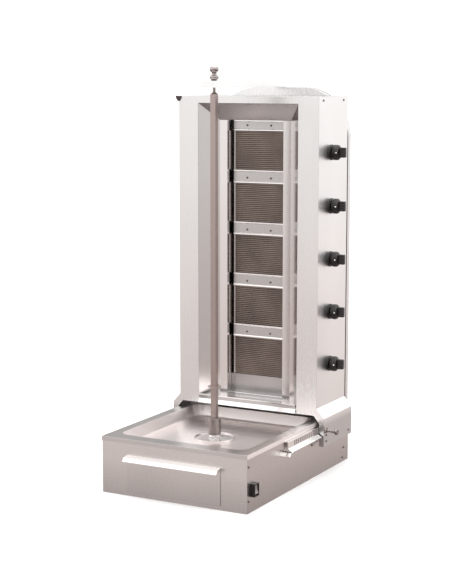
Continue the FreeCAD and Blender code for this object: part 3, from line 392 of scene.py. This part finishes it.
# painted shade: faces that face front or back, the tray's end walls, keep only a share of the tone
TRAY_END_WALL_SHADE = (0.62, (("facing", "Y", 0.6, 0.4),))
# painted shade and painted reflection: the level rim top left of X 0.18 keeps only a share of the tone
TRAY_RIM_SHADE = (0.55, (("facing", "Z", 0.98, 0.94), ("place", "Z", 0.1598, 0.1588), ("place", "X", 0.18, 0.23)))
# painted shade: the sill's steep faces below Z 0.2025 keep only a share of the tone
SILL_BROW_SHADE = (0.42, (("facing", "Z", 0.30, 0.38), ("place", "Z", 0.2025, 0.2035)))

PAINTS = {}


def mix_paints():
    """Every finish: steel is name, grain, tone, roughness, then warmth where it isn't the usual one."""
    PAINTS.update(
        casing=steel("casing_steel", LEVEL_GRAIN, 0.73, 0.28, side_shade_tone=0.60, shade_zones=(LOW_SHADE,)),
        drawer=steel("drawer_steel", LEVEL_GRAIN, 0.71, 0.27, shade_zones=(LOW_SHADE,)),
        tower=steel("tower_steel", UPRIGHT_GRAIN, 0.76, 0.26, 0.01, shade_zones=(SKIRT_SHADE,)),
        cover=steel("cover_steel", UPRIGHT_GRAIN, 0.78, 0.26, 0.01, shade_zones=(COVER_EDGE_SHADE,)),
        side=steel("side_steel", UPRIGHT_GRAIN, 0.86, 0.32, 0.01, shade_zones=(SKIRT_SHADE,)),
        bar=steel("crossbar_steel", LEVEL_GRAIN, 0.50, 0.28),
        blank=steel("blank_steel", LEVEL_GRAIN, 0.39, 0.24),
        tray=steel("tray_steel", LEVEL_GRAIN, 0.92, 0.29, 0.05, shade_zones=(TRAY_END_WALL_SHADE, TRAY_RIM_SHADE), satin=0.46),
        lip=steel("ring_steel", PLAIN_GRAIN, 0.62, 0.20, 0.04),
        sill=steel("sill_steel", LEVEL_GRAIN, 0.80, 0.20, 0.02, shade_zones=(SILL_BROW_SHADE,)),
        bright=steel("bright_steel", PLAIN_GRAIN, 0.88, 0.14, 0.02),
        mirror=steel("reflector_steel", UPRIGHT_GRAIN, 0.73, 0.17, 0.03),
        # painted shade: the ceiling reflector's steel has a much darker tone than the side reflectors'
        # steel
        hood=steel("hood_steel_painted_shade", LEVEL_GRAIN, 0.41, 0.20, 0.03),
        rail=steel("rail_steel", CROSS_GRAIN, 0.90, 0.16, 0.01),
        arm=steel("arm_steel", CROSS_GRAIN, 0.88, 0.22, 0.0),
        spit=steel("spit_steel", UPRIGHT_GRAIN, 0.35, 0.28, 0.15, 0.0000003),
        socket=steel("socket_steel", UPRIGHT_GRAIN, 0.21, 0.30, 0.10),
        turned=steel("turned_steel", PLAIN_GRAIN, 0.30, 0.22, 0.10),
        fastener=metal("screw_steel", (0.13, 0.105, 0.10), (0.22, 0.18, 0.17), 0.36),
        dark=metal("dark_steel", (0.05, 0.042, 0.04), (0.10, 0.085, 0.08), 0.45),
        iron=metal("cast_iron", (0.06, 0.05, 0.045), (0.14, 0.11, 0.095), 0.62, (30, 30, 30), 0.0003),
        brass=metal("brass", (0.62, 0.42, 0.17), (0.74, 0.54, 0.25), 0.30),
        alloy=metal("cast_alloy", (0.46, 0.45, 0.44), (0.58, 0.57, 0.56), 0.50, (40, 40, 40), 0.0002),
        motor=metal("motor_paint", (0.030, 0.034, 0.038), (0.055, 0.060, 0.066), 0.40),
        black=moulded("black_plastic", (0.004, 0.003, 0.0028), (0.010, 0.0075, 0.007), 0.30),
        grey=moulded("grey_plastic", (0.17, 0.145, 0.14), (0.24, 0.21, 0.20), 0.34),
        nylon=moulded("black_nylon", (0.012, 0.009, 0.008), (0.030, 0.024, 0.021), 0.45),
        mark=moulded("white_mark", (0.72, 0.72, 0.70), (0.86, 0.86, 0.84), 0.45),
        ceramic=ceramic_paint(),
        wire=wire_paint(),
    )


# ---------------------------------------------------------------- carried-over CAD nodes

# finish: (how wide the edges are rounded, in mm, and the nodes that have it)
CARRIED = {
    "casing": (0.5, "base_casing"),
    "drawer": (0.5, "drawer_front drawer_box"),
    "tower": (0.4, "front_frame tower_floor top_panel back_panel"),
    "cover": (0.2, "rear_cover"),
    "blank": (0.3, "blank_panel"),
    "side": (0.4, "side_panel_left side_panel_right"),
    "tray": (0.4, "drip_tray"),
    "lip": (0.6, "tray_ring"),
    "sill": (0.3, "cavity_floor"),
    "mirror": (0.3, "side_reflector_left side_reflector_right"),
    "hood": (0.3, "ceiling_reflector"),
    "rail": (0.3, "slide_rails drawer_runners motor_bracket arm_column bottom_plate"),
    "arm": (0.8, "top_arm"),
    "bright": (0.3, "shaft_bearing"),
    "spit": (0.5, "spit_bar spit_disc"),
    "turned": (0.3, "lift_pin lock_bushing burner_pipes gas_manifold gas_inlet"),
    "brass": (0.4, "gas_valves"),
    "iron": (0.8, "burner_bodies"),
    "alloy": (1.5, "gearbox"),
    "motor": (1.0, "motor"),
    "black": (0.5, "terminal_box switch_bezel cable_gland"),
    "dark": (0.5, "corner_lug"),
    "nylon": (0.6, "glide_blocks"),
    "ceramic": (0, "ceramic_plates"),
}
WELD_DISTANCE = 0.00002
FLAT_ANGLE = math.radians(0.3)
SHARP_ANGLE = math.radians(32)
# how many steps the large turned shapes have round their axis
ROUND_STEPS = 72


def rounded(thing, width, segments=2):
    """Rounds a piece's sharp edges, so that they catch the light as real ones do."""
    bevel = thing.modifiers.new("edges", "BEVEL")
    bevel.width = width
    bevel.segments = segments
    bevel.limit_method = "ANGLE"
    bevel.angle_limit = SHARP_ANGLE
    bevel.harden_normals = True
    bevel.use_clamp_overlap = True


def carry_over():
    """Gives the CAD nodes their finishes, and rounds the edges of those that are carried over."""
    for paint, (width, names) in CARRIED.items():
        for name in names.split():
            thing = nodes[name]
            for place in thing.material_slots:
                place.material = PAINTS[paint]
            if width:
                weld = thing.modifiers.new("weld", "WELD")
                weld.merge_threshold = WELD_DISTANCE
                merge = thing.modifiers.new("merge", "DECIMATE")
                merge.decimate_type = "DISSOLVE"
                merge.angle_limit = FLAT_ANGLE
                rounded(thing, width * MM)
    for index in KNOBS:
        for place in nodes["valve_spindle_%d" % index].material_slots:
            place.material = PAINTS["turned"]


# ---------------------------------------------------------------- mesh helpers

AXES = {
    "x": (Vector((1, 0, 0)), Vector((0, 1, 0)), Vector((0, 0, 1))),
    "-x": (Vector((-1, 0, 0)), Vector((0, -1, 0)), Vector((0, 0, 1))),
    "-y": (Vector((0, -1, 0)), Vector((1, 0, 0)), Vector((0, 0, 1))),
    "z": (Vector((0, 0, 1)), Vector((1, 0, 0)), Vector((0, 1, 0))),
}


def islands(name):
    """The (low corner, high corner) of each separate solid of a node."""
    form = bmesh.new()
    form.from_mesh(nodes[name].data)
    bmesh.ops.remove_doubles(form, verts=form.verts, dist=WELD_DISTANCE)
    left = set(form.verts)
    boxes = []
    while left:
        reached = [left.pop()]
        spots = []
        while reached:
            vertex = reached.pop()
            spots.append(vertex.co.copy())
            for edge in vertex.link_edges:
                other = edge.other_vert(vertex)
                if other in left:
                    left.remove(other)
                    reached.append(other)
        low = Vector([min(spot[axis] for spot in spots) for axis in range(3)])
        high = Vector([max(spot[axis] for spot in spots) for axis in range(3)])
        boxes.append((low, high))
    form.free()
    return sorted(boxes, key=lambda box: (round(box[0].z, 4), round(box[0].y, 4), round(box[0].x, 4)))


def ring(form, centre, axis, radius, steps):
    """A loop of vertices round an axis."""
    _, across, up = AXES[axis]
    loop = []
    for step in range(steps):
        angle = 2 * math.pi * step / steps
        loop.append(form.verts.new(centre + (across * math.cos(angle) + up * math.sin(angle)) * radius))
    return loop


def skin(form, first, second, paint=0):
    """Faces between two loops of the same length."""
    count = len(first)
    for index in range(count):
        after = (index + 1) % count
        face = form.faces.new((first[index], first[after], second[after], second[index]))
        face.material_index = paint


def lathe(form, centre, axis, profile, steps=48, paint=0):
    """A turned shape. The profile is (distance along the axis, radius) in mm, and closes on itself
    unless it starts and ends on the axis."""
    along = AXES[axis][0]
    loops = []
    for distance, radius in profile:
        spot = centre + along * distance * MM
        if radius == 0:
            loops.append([form.verts.new(spot)])
        else:
            loops.append(ring(form, spot, axis, radius * MM, steps))
    pairs = list(zip(loops, loops[1:]))
    if len(loops[0]) > 1:
        pairs.append((loops[-1], loops[0]))
    for first, second in pairs:
        if len(first) == 1 or len(second) == 1:
            tip, loop = (first[0], second) if len(first) == 1 else (second[0], first)
            for index in range(steps):
                face = form.faces.new((tip, loop[index], loop[(index + 1) % steps]))
                face.material_index = paint
        else:
            skin(form, first, second, paint)


def prism(form, outline, low, high, axis, paint=0):
    """A straight bar between two planes. The outline is (across, up) pairs in metres."""
    along, across, up = AXES[axis]
    loops = []
    for distance in (low, high):
        loops.append([form.verts.new(along * distance + across * a + up * b) for a, b in outline])
    skin(form, *loops, paint)
    for loop in loops:
        form.faces.new(loop).material_index = paint


def finished(name, form, body, replaced=(), paints=(), bevel=0.3, segments=2):
    """Turns a mesh under construction into a piece that rides on a body, and hides the CAD nodes that it
    replaces.
    """
    bmesh.ops.recalc_face_normals(form, faces=form.faces)
    mesh = bpy.data.meshes.new(name)
    form.to_mesh(mesh)
    form.free()
    for paint in paints:
        mesh.materials.append(PAINTS[paint])
    thing = bpy.data.objects.new(name, mesh)
    bpy.context.scene.collection.objects.link(thing)
    for polygon in mesh.polygons:
        polygon.use_smooth = True
    mesh.set_sharp_from_angle(angle=SHARP_ANGLE)
    if bevel:
        rounded(thing, bevel * MM, segments)
    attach(thing, body)
    if replaced:
        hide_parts(*replaced)


# ---------------------------------------------------------------- fasteners

HEAD_STEPS = 24
# pan head: (share of the radius, share of the height)
HEAD_RINGS = ((1, 0), (1, 0.4), (0.93, 0.74), (0.80, 0.94), (0.68, 1))
RECESS_ARM = 0.46
RECESS_HALF = 0.13
RECESS_DEPTH = 0.6


def screw_head(form, low, high, axis):
    """A pan head with a cross recess, in the box of the plain CAD head."""
    along, across, up = AXES[axis]
    index = [abs(part) for part in along].index(1)
    height = high[index] - low[index]
    radius = (high[(index + 1) % 3] - low[(index + 1) % 3]) / 2
    foot = (low + high) / 2 - along * height / 2
    loops = []
    for share, rise in HEAD_RINGS:
        loops.append(ring(form, foot + along * height * rise, axis, radius * share, HEAD_STEPS))
    for first, second in zip(loops, loops[1:]):
        skin(form, first, second)
    form.faces.new(loops[0])
    arm, half = RECESS_ARM * radius, RECESS_HALF * radius
    quarter = [(arm, -half), (arm, half), (half, half)]
    cross = []
    for turn in range(4):
        for a, b in quarter:
            for _ in range(turn):
                a, b = -b, a
            cross.append((a, b))
    rims = []
    for level in (height, height * (1 - RECESS_DEPTH)):
        rims.append([form.verts.new(foot + along * level + across * a + up * b) for a, b in cross])
    skin(form, *rims)
    form.faces.new(rims[1])
    rim_edges = [form.edges.get((rims[0][step - 1], rims[0][step])) for step in range(len(cross))]
    outer_edges = [form.edges.get((loops[-1][step - 1], loops[-1][step])) for step in range(HEAD_STEPS)]
    bmesh.ops.triangle_fill(form, edges=rim_edges + outer_edges, use_beauty=True)


def outward(low, high):
    """The axis that a screw head points along: its thinnest side, away from the machine's middle."""
    sizes = high - low
    thin = min(range(3), key=lambda index: sizes[index])
    return (("x" if low.x > 0 else "-x"), "-y", "z")[thin]


def screws(name, node, body):
    form = bmesh.new()
    for low, high in islands(node):
        screw_head(form, low, high, outward(low, high))
    finished(name, form, body, (node,), ("fastener",), bevel=0)


# ---------------------------------------------------------------- knobs, lock, pin and socket

# the knob's bore, grip and dot, in mm
KNOB_BORE = 4.1
GRIP_START = 9
GRIP_HALF_HEIGHT = 14.5
GRIP_HALF_THICK = 6.0
GRIP_FLAT = 3.5
GRIP_ROUND = 1.4
GRIP_CHAMFER = 0.3
GROOVES = 3
GROOVE_STEPS = 8
GROOVE_DEPTH = 0.45
DOT_PLACE = 14.0
DOT_SINK = 2.6


def knob(index):
    """A skirt with a stepped edge, a cone, a bar grip with finger grooves, and a white index dot."""
    low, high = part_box("knob_%d" % index)
    middle = Vector((0, (low[1] + high[1]) / 2, (low[2] + high[2]) / 2))
    back, end = low[0] / MM, high[0] / MM
    radius = (high[1] - low[1]) / 2 / MM
    form = bmesh.new()
    profile = [
        (back, KNOB_BORE),
        (back, radius - 3),
        (back + 0.8, radius - 1.4),
        (back + 1.6, radius),
        (back + 4.6, radius),
        (back + 5.0, radius - 0.8),
        (back + 5.8, radius - 0.8),
        (back + 6.2, radius),
        (back + 11.5, radius),
        (back + 14.5, radius - 1.8),
        (back + 17.0, radius - 5.5),
        (back + 18.5, radius - 9.5),
        (back + 18.5, 2.0),
        (back + 10.0, KNOB_BORE),
    ]
    lathe(form, middle, "x", profile, ROUND_STEPS)
    half, tall_half = GRIP_HALF_THICK, GRIP_HALF_HEIGHT
    side = []
    for step in range(GROOVES * GROOVE_STEPS + 1):
        share = step / (GROOVES * GROOVE_STEPS)
        height = (share * 2 - 1) * (tall_half - GRIP_FLAT)
        side.append((half - GROOVE_DEPTH * (1 - math.cos(share * GROOVES * 2 * math.pi)) / 2, height))
    outline = [(half - GRIP_ROUND, -tall_half), (half - GRIP_CHAMFER, -tall_half + GRIP_ROUND)] + side
    outline += [(half - GRIP_CHAMFER, tall_half - GRIP_ROUND), (half - GRIP_ROUND, tall_half)]
    outline += [(-a, b) for a, b in reversed(outline)]
    # (distance along the axis, share of the thickness, share of the height)
    levels = (
        (back + GRIP_START, 1.0, 1.0),
        (end - 4, 0.97, 0.985),
        (end - 1.2, 0.95, 0.965),
        (end - 0.3, 0.88, 0.93),
        (end, 0.74, 0.87),
    )
    loops = []
    for distance, thin, tall in levels:
        loop = []
        for a, b in outline:
            loop.append(form.verts.new(middle + Vector((distance, a * thin, b * tall)) * MM))
        loops.append(loop)
    for first, second in zip(loops, loops[1:]):
        skin(form, first, second)
    form.faces.new(loops[0])
    form.faces.new(loops[-1])
    body = "knob_%d" % index
    finished("knob_body_%d" % index, form, body, (body,), ("black",), 0.25)
    dot = bmesh.new()
    spot = middle + Vector((back + DOT_PLACE, -radius + DOT_SINK, 0)) * MM
    lathe(dot, spot, "-y", [(0.0, 0.0), (0.0, 1.9), (1.9, 1.9), (2.3, 1.4), (2.4, 0.0)], 20)
    finished("knob_dot_%d" % index, dot, body, (), ("mark",), 0)


BEZEL_BORE = 9


def bezels():
    """The turned disc behind each knob, with two raised rings."""
    form = bmesh.new()
    for low, high in islands("knob_bezels"):
        centre = (low + high) / 2
        centre.x = low.x
        radius = (high.y - low.y) / 2 / MM
        depth = (high.x - low.x) / MM
        profile = [
            (0, BEZEL_BORE),
            (0, radius),
            (depth - 2.6, radius),
            (depth - 1.8, radius - 0.8),
            (depth - 1.8, radius - 2.2),
            (depth - 2.4, radius - 2.8),
            (depth - 0.6, radius - 4.2),
            (depth, radius - 5.2),
            (depth, radius - 8.5),
            (depth - 1.2, radius - 9.5),
            (depth - 1.2, BEZEL_BORE),
        ]
        lathe(form, centre, "x", profile, ROUND_STEPS)
    finished("knob_rosettes", form, "tower", ("knob_bezels",), ("black",), 0.2)


def lock_pin():
    """The spool-shaped pull of the tower's spring lock."""
    low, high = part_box("lock_plunger")
    middle = Vector((0, (low[1] + high[1]) / 2, (low[2] + high[2]) / 2))
    tip, end = low[0] / MM, high[0] / MM
    radius = (high[1] - low[1]) / 2 / MM
    form = bmesh.new()
    profile = [
        (tip, 0),
        (tip, 1.8),
        (tip + 0.8, 2.6),
        (tip + 8.3, 2.6),
        (tip + 8.3, 4.5),
        (end - 16, 4.5),
        (end - 14.5, 5.8),
        (end - 11, 5.8),
        (end - 9.5, 6.2),
        (end - 8, 7.6),
        (end - 6.8, radius - 0.8),
        (end - 6.0, radius),
        (end - 1.6, radius),
        (end - 0.8, radius - 0.9),
        (end, radius - 2.6),
        (end - 0.5, 3),
        (end - 0.7, 0),
    ]
    lathe(form, middle, "x", profile, 48)
    finished("lock_pull", form, "tower_lock", ("lock_plunger",), ("turned",), 0.25)


# the two rolls of the spit pin's pull: turn of their outline either way, and their waist's share
ROLL_STEPS = 12
ROLL_TURN = math.pi * 0.41
ROLL_WAIST = 0.42


def pin_spool():
    """The turned pull on top of the spit's upper pin: two rolls and a waist."""
    low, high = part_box("pin_knob")
    foot, top = low[2] / MM, high[2] / MM
    radius = (high[0] - low[0]) / 2 / MM
    rolls = ((foot + 9.2, 6.4), (top - 7.6, 7.4))
    profile = [(foot, 4.0), (foot, 8.4), (foot + 0.6, 9.0), (foot + 2.4, 9.0)]
    for middle, half in rolls:
        for step in range(ROLL_STEPS + 1):
            angle = ROLL_TURN * (step / ROLL_STEPS * 2 - 1)
            out = radius * (ROLL_WAIST + (1 - ROLL_WAIST) * math.cos(angle))
            profile.append((middle + half * math.sin(angle) / math.sin(ROLL_TURN), out))
        if middle < (foot + top) / 2:
            profile += [(foot + 17.6, 6.9), (foot + 20, 6.6), (top - 16.4, 6.9)]
    profile += [(top - 0.1, 5.0), (top, 2.0)]
    form = bmesh.new()
    lathe(form, Vector((0, 0, 0)), "z", profile, 56)
    finished("pin_pull", form, "top_pin", ("pin_knob",), ("turned",), 0.15)


# the spit's socket: half its square, the steps round it, and how many of its rings are bright collar
SOCKET_HALF = 8.1
SLEEVE_STEPS = 64
COLLAR_RINGS = 8


def sleeve():
    """The socket that holds the spit, over a bright collar and the drive shaft."""
    low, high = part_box("drive_sleeve")
    foot, top = low[2] / MM, high[2] / MM
    radius = (high[0] - low[0]) / 2 / MM
    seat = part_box("spit_bar")[0][2] / MM
    half = SOCKET_HALF * MM
    form = bmesh.new()
    outer = [
        (foot, 0.0),
        (foot, 8.0),
        (top - 54.5, 8.0),
        (top - 54.5, radius - 2.2),
        (top - 53.8, radius - 1.5),
        (top - 51.4, radius - 1.5),
        (top - 49.6, radius - 3.4),
        (top - 47.6, radius - 3.4),
        (top - 47.0, radius - 1.0),
        (top - 46.0, radius),
        (top - 4.4, radius),
        (top - 3.8, radius - 0.6),
        (top - 3.2, radius),
        (top - 1.0, radius),
        (top, radius - 1.0),
    ]
    loops = []
    for height, wide in outer:
        spot = Vector((0, 0, height * MM))
        if wide == 0:
            loops.append([form.verts.new(spot)])
        else:
            loops.append(ring(form, spot, "z", wide * MM, SLEEVE_STEPS))
    for index in range(SLEEVE_STEPS):
        form.faces.new((loops[0][0], loops[1][index], loops[1][(index + 1) % SLEEVE_STEPS]))
    for step in range(1, len(loops) - 1):
        skin(form, loops[step], loops[step + 1], 1 if step < COLLAR_RINGS else 0)
    corners = [(half, -half), (half, half), (-half, half), (-half, -half)]
    rims = []
    for height in (top, seat):
        rims.append([form.verts.new(Vector((a, b, height * MM))) for a, b in corners])
    skin(form, *rims)
    form.faces.new(rims[1])
    edges = [form.edges.get((rims[0][step - 1], rims[0][step])) for step in range(4)]
    edges += [form.edges.get((loops[-1][step - 1], loops[-1][step])) for step in range(SLEEVE_STEPS)]
    bmesh.ops.triangle_fill(form, edges=edges, use_beauty=True)
    finished("spit_socket", form, "spit", ("drive_sleeve",), ("socket", "bright"), 0.25)


# ---------------------------------------------------------------- burners

# woven wire and its frame, in mm
ROW_PITCH = 5.75
COLUMN_PITCH = 3.4
ROW_WIRE = 2.2
COLUMN_WIRE = 0.9
FRAME_WIDE = 3.2
FRAME_THICK = 1.4
# the bars between the burners, in metres: sheet, height of the lips, how far they stand out
BAR_SHEET = 1.2 * MM
BAR_LIP = 3.2 * MM
BAR_PROUD = 1.6 * MM
BAR_INSET = 1.0 * MM


def wire(spots, faces, path, thick, sideways):
    """A square-section wire along a path of points."""
    first = len(spots)
    half = thick / 2
    for point in path:
        for along_side, depth in ((-1, -1), (1, -1), (1, 1), (-1, 1)):
            spots.append(point + sideways * along_side * half + Vector((0, depth * half, 0)))
    for step in range(len(path) - 1):
        start = first + step * 4
        for corner in range(4):
            after = (corner + 1) % 4
            faces.append((start + corner, start + after, start + 4 + after, start + 4 + corner))
    last = first + (len(path) - 1) * 4
    faces.append((first + 3, first + 2, first + 1, first))
    faces.append((last, last + 1, last + 2, last + 3))


def screens():
    """Woven wire in front of each ceramic plate, with a bright strip down each side."""
    spots, faces = [], []
    form = bmesh.new()
    for low, high in islands("mesh_screens"):
        plane = (low.y + high.y) / 2
        columns = round((high.x - low.x) / MM / COLUMN_PITCH)
        rows = round((high.z - low.z) / MM / ROW_PITCH)
        xs = [low.x + (high.x - low.x) * (index + 0.5) / columns for index in range(columns)]
        zs = [low.z + (high.z - low.z) * (index + 0.5) / rows for index in range(rows)]
        wave = COLUMN_WIRE * MM * 0.5
        for row, z in enumerate(zs):
            path = [Vector((low.x, plane, z))]
            path += [Vector((x, plane + wave * (-1) ** (row + column), z)) for column, x in enumerate(xs)]
            path.append(Vector((high.x, plane, z)))
            wire(spots, faces, path, ROW_WIRE * MM, Vector((0, 0, 1)))
        for column, x in enumerate(xs):
            path = [Vector((x, plane, low.z))]
            path += [Vector((x, plane - wave * (-1) ** (row + column), z)) for row, z in enumerate(zs)]
            path.append(Vector((x, plane, high.z)))
            wire(spots, faces, path, COLUMN_WIRE * MM, Vector((1, 0, 0)))
        edge, thick = FRAME_WIDE * MM, FRAME_THICK * MM
        near, far = plane - thick, plane + thick / 2
        sides = (
            (low.x, low.x + edge, low.z, high.z),
            (high.x - edge, high.x, low.z, high.z),
        )
        for left, right, bottom, top in sides:
            prism(form, [(left, bottom), (right, bottom), (right, top), (left, top)], -far, -near, "-y", 1)
    mesh = bpy.data.meshes.new("wire")
    mesh.from_pydata(spots, [], faces)
    form.from_mesh(mesh)
    bpy.data.meshes.remove(mesh)
    finished("burner_screens", form, "tower", ("mesh_screens",), ("wire", "bright"), 0)


def crossbars():
    """Folded bars between the burners, each with a bright proud lip along its top and bottom edges."""
    form = bmesh.new()
    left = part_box("mesh_screens")[0][0] + BAR_INSET
    sheet, lip, proud = BAR_SHEET, BAR_LIP, BAR_PROUD
    for low, high in islands("crossbars"):
        front, back = low.y, high.y
        section = [
            (front - proud, low.z),
            (front - proud, low.z + lip),
            (front, low.z + lip + proud),
            (front, high.z - lip - proud),
            (front - proud, high.z - lip),
            (front - proud, high.z),
            (back, high.z),
            (back, high.z - sheet),
            (front - proud + sheet, high.z - sheet),
            (front + sheet, high.z - lip - proud - sheet / 2),
            (front + sheet, low.z + lip + proud + sheet / 2),
            (front - proud + sheet, low.z + sheet),
            (back, low.z + sheet),
            (back, low.z),
        ]
        loops = []
        for x in (left, high.x):
            loops.append([form.verts.new(Vector((x, y, z))) for y, z in section])
        skin(form, *loops)
        for loop in loops:
            form.faces.new(loop)
    lip_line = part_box("crossbars")[0][1] - proud / 2
    for face in form.faces:
        if face.calc_center_median().y < lip_line:
            face.material_index = 1
    finished("burner_bars", form, "tower", ("crossbars",), ("bar", "bright"), 0.35)


# ---------------------------------------------------------------- switch

def rocker():
    """The switch's rocker, with softer edges than the pieces that are carried over."""
    form = bmesh.new()
    form.from_mesh(nodes["switch_rocker"].data)
    bmesh.ops.remove_doubles(form, verts=form.verts, dist=WELD_DISTANCE)
    finished("rocker_body", form, "switch_rocker", ("switch_rocker",), ("grey",), 0.5, 3)


camera()
lights()
studio()
floor()
mix_paints()
carry_over()
screws("base_screw_heads", "base_screws", "base")
screws("tower_screw_heads", "tower_screws", "tower")
for number in KNOBS:
    knob(number)
bezels()
lock_pin()
pin_spool()
sleeve()
screens()
crossbars()
rocker()
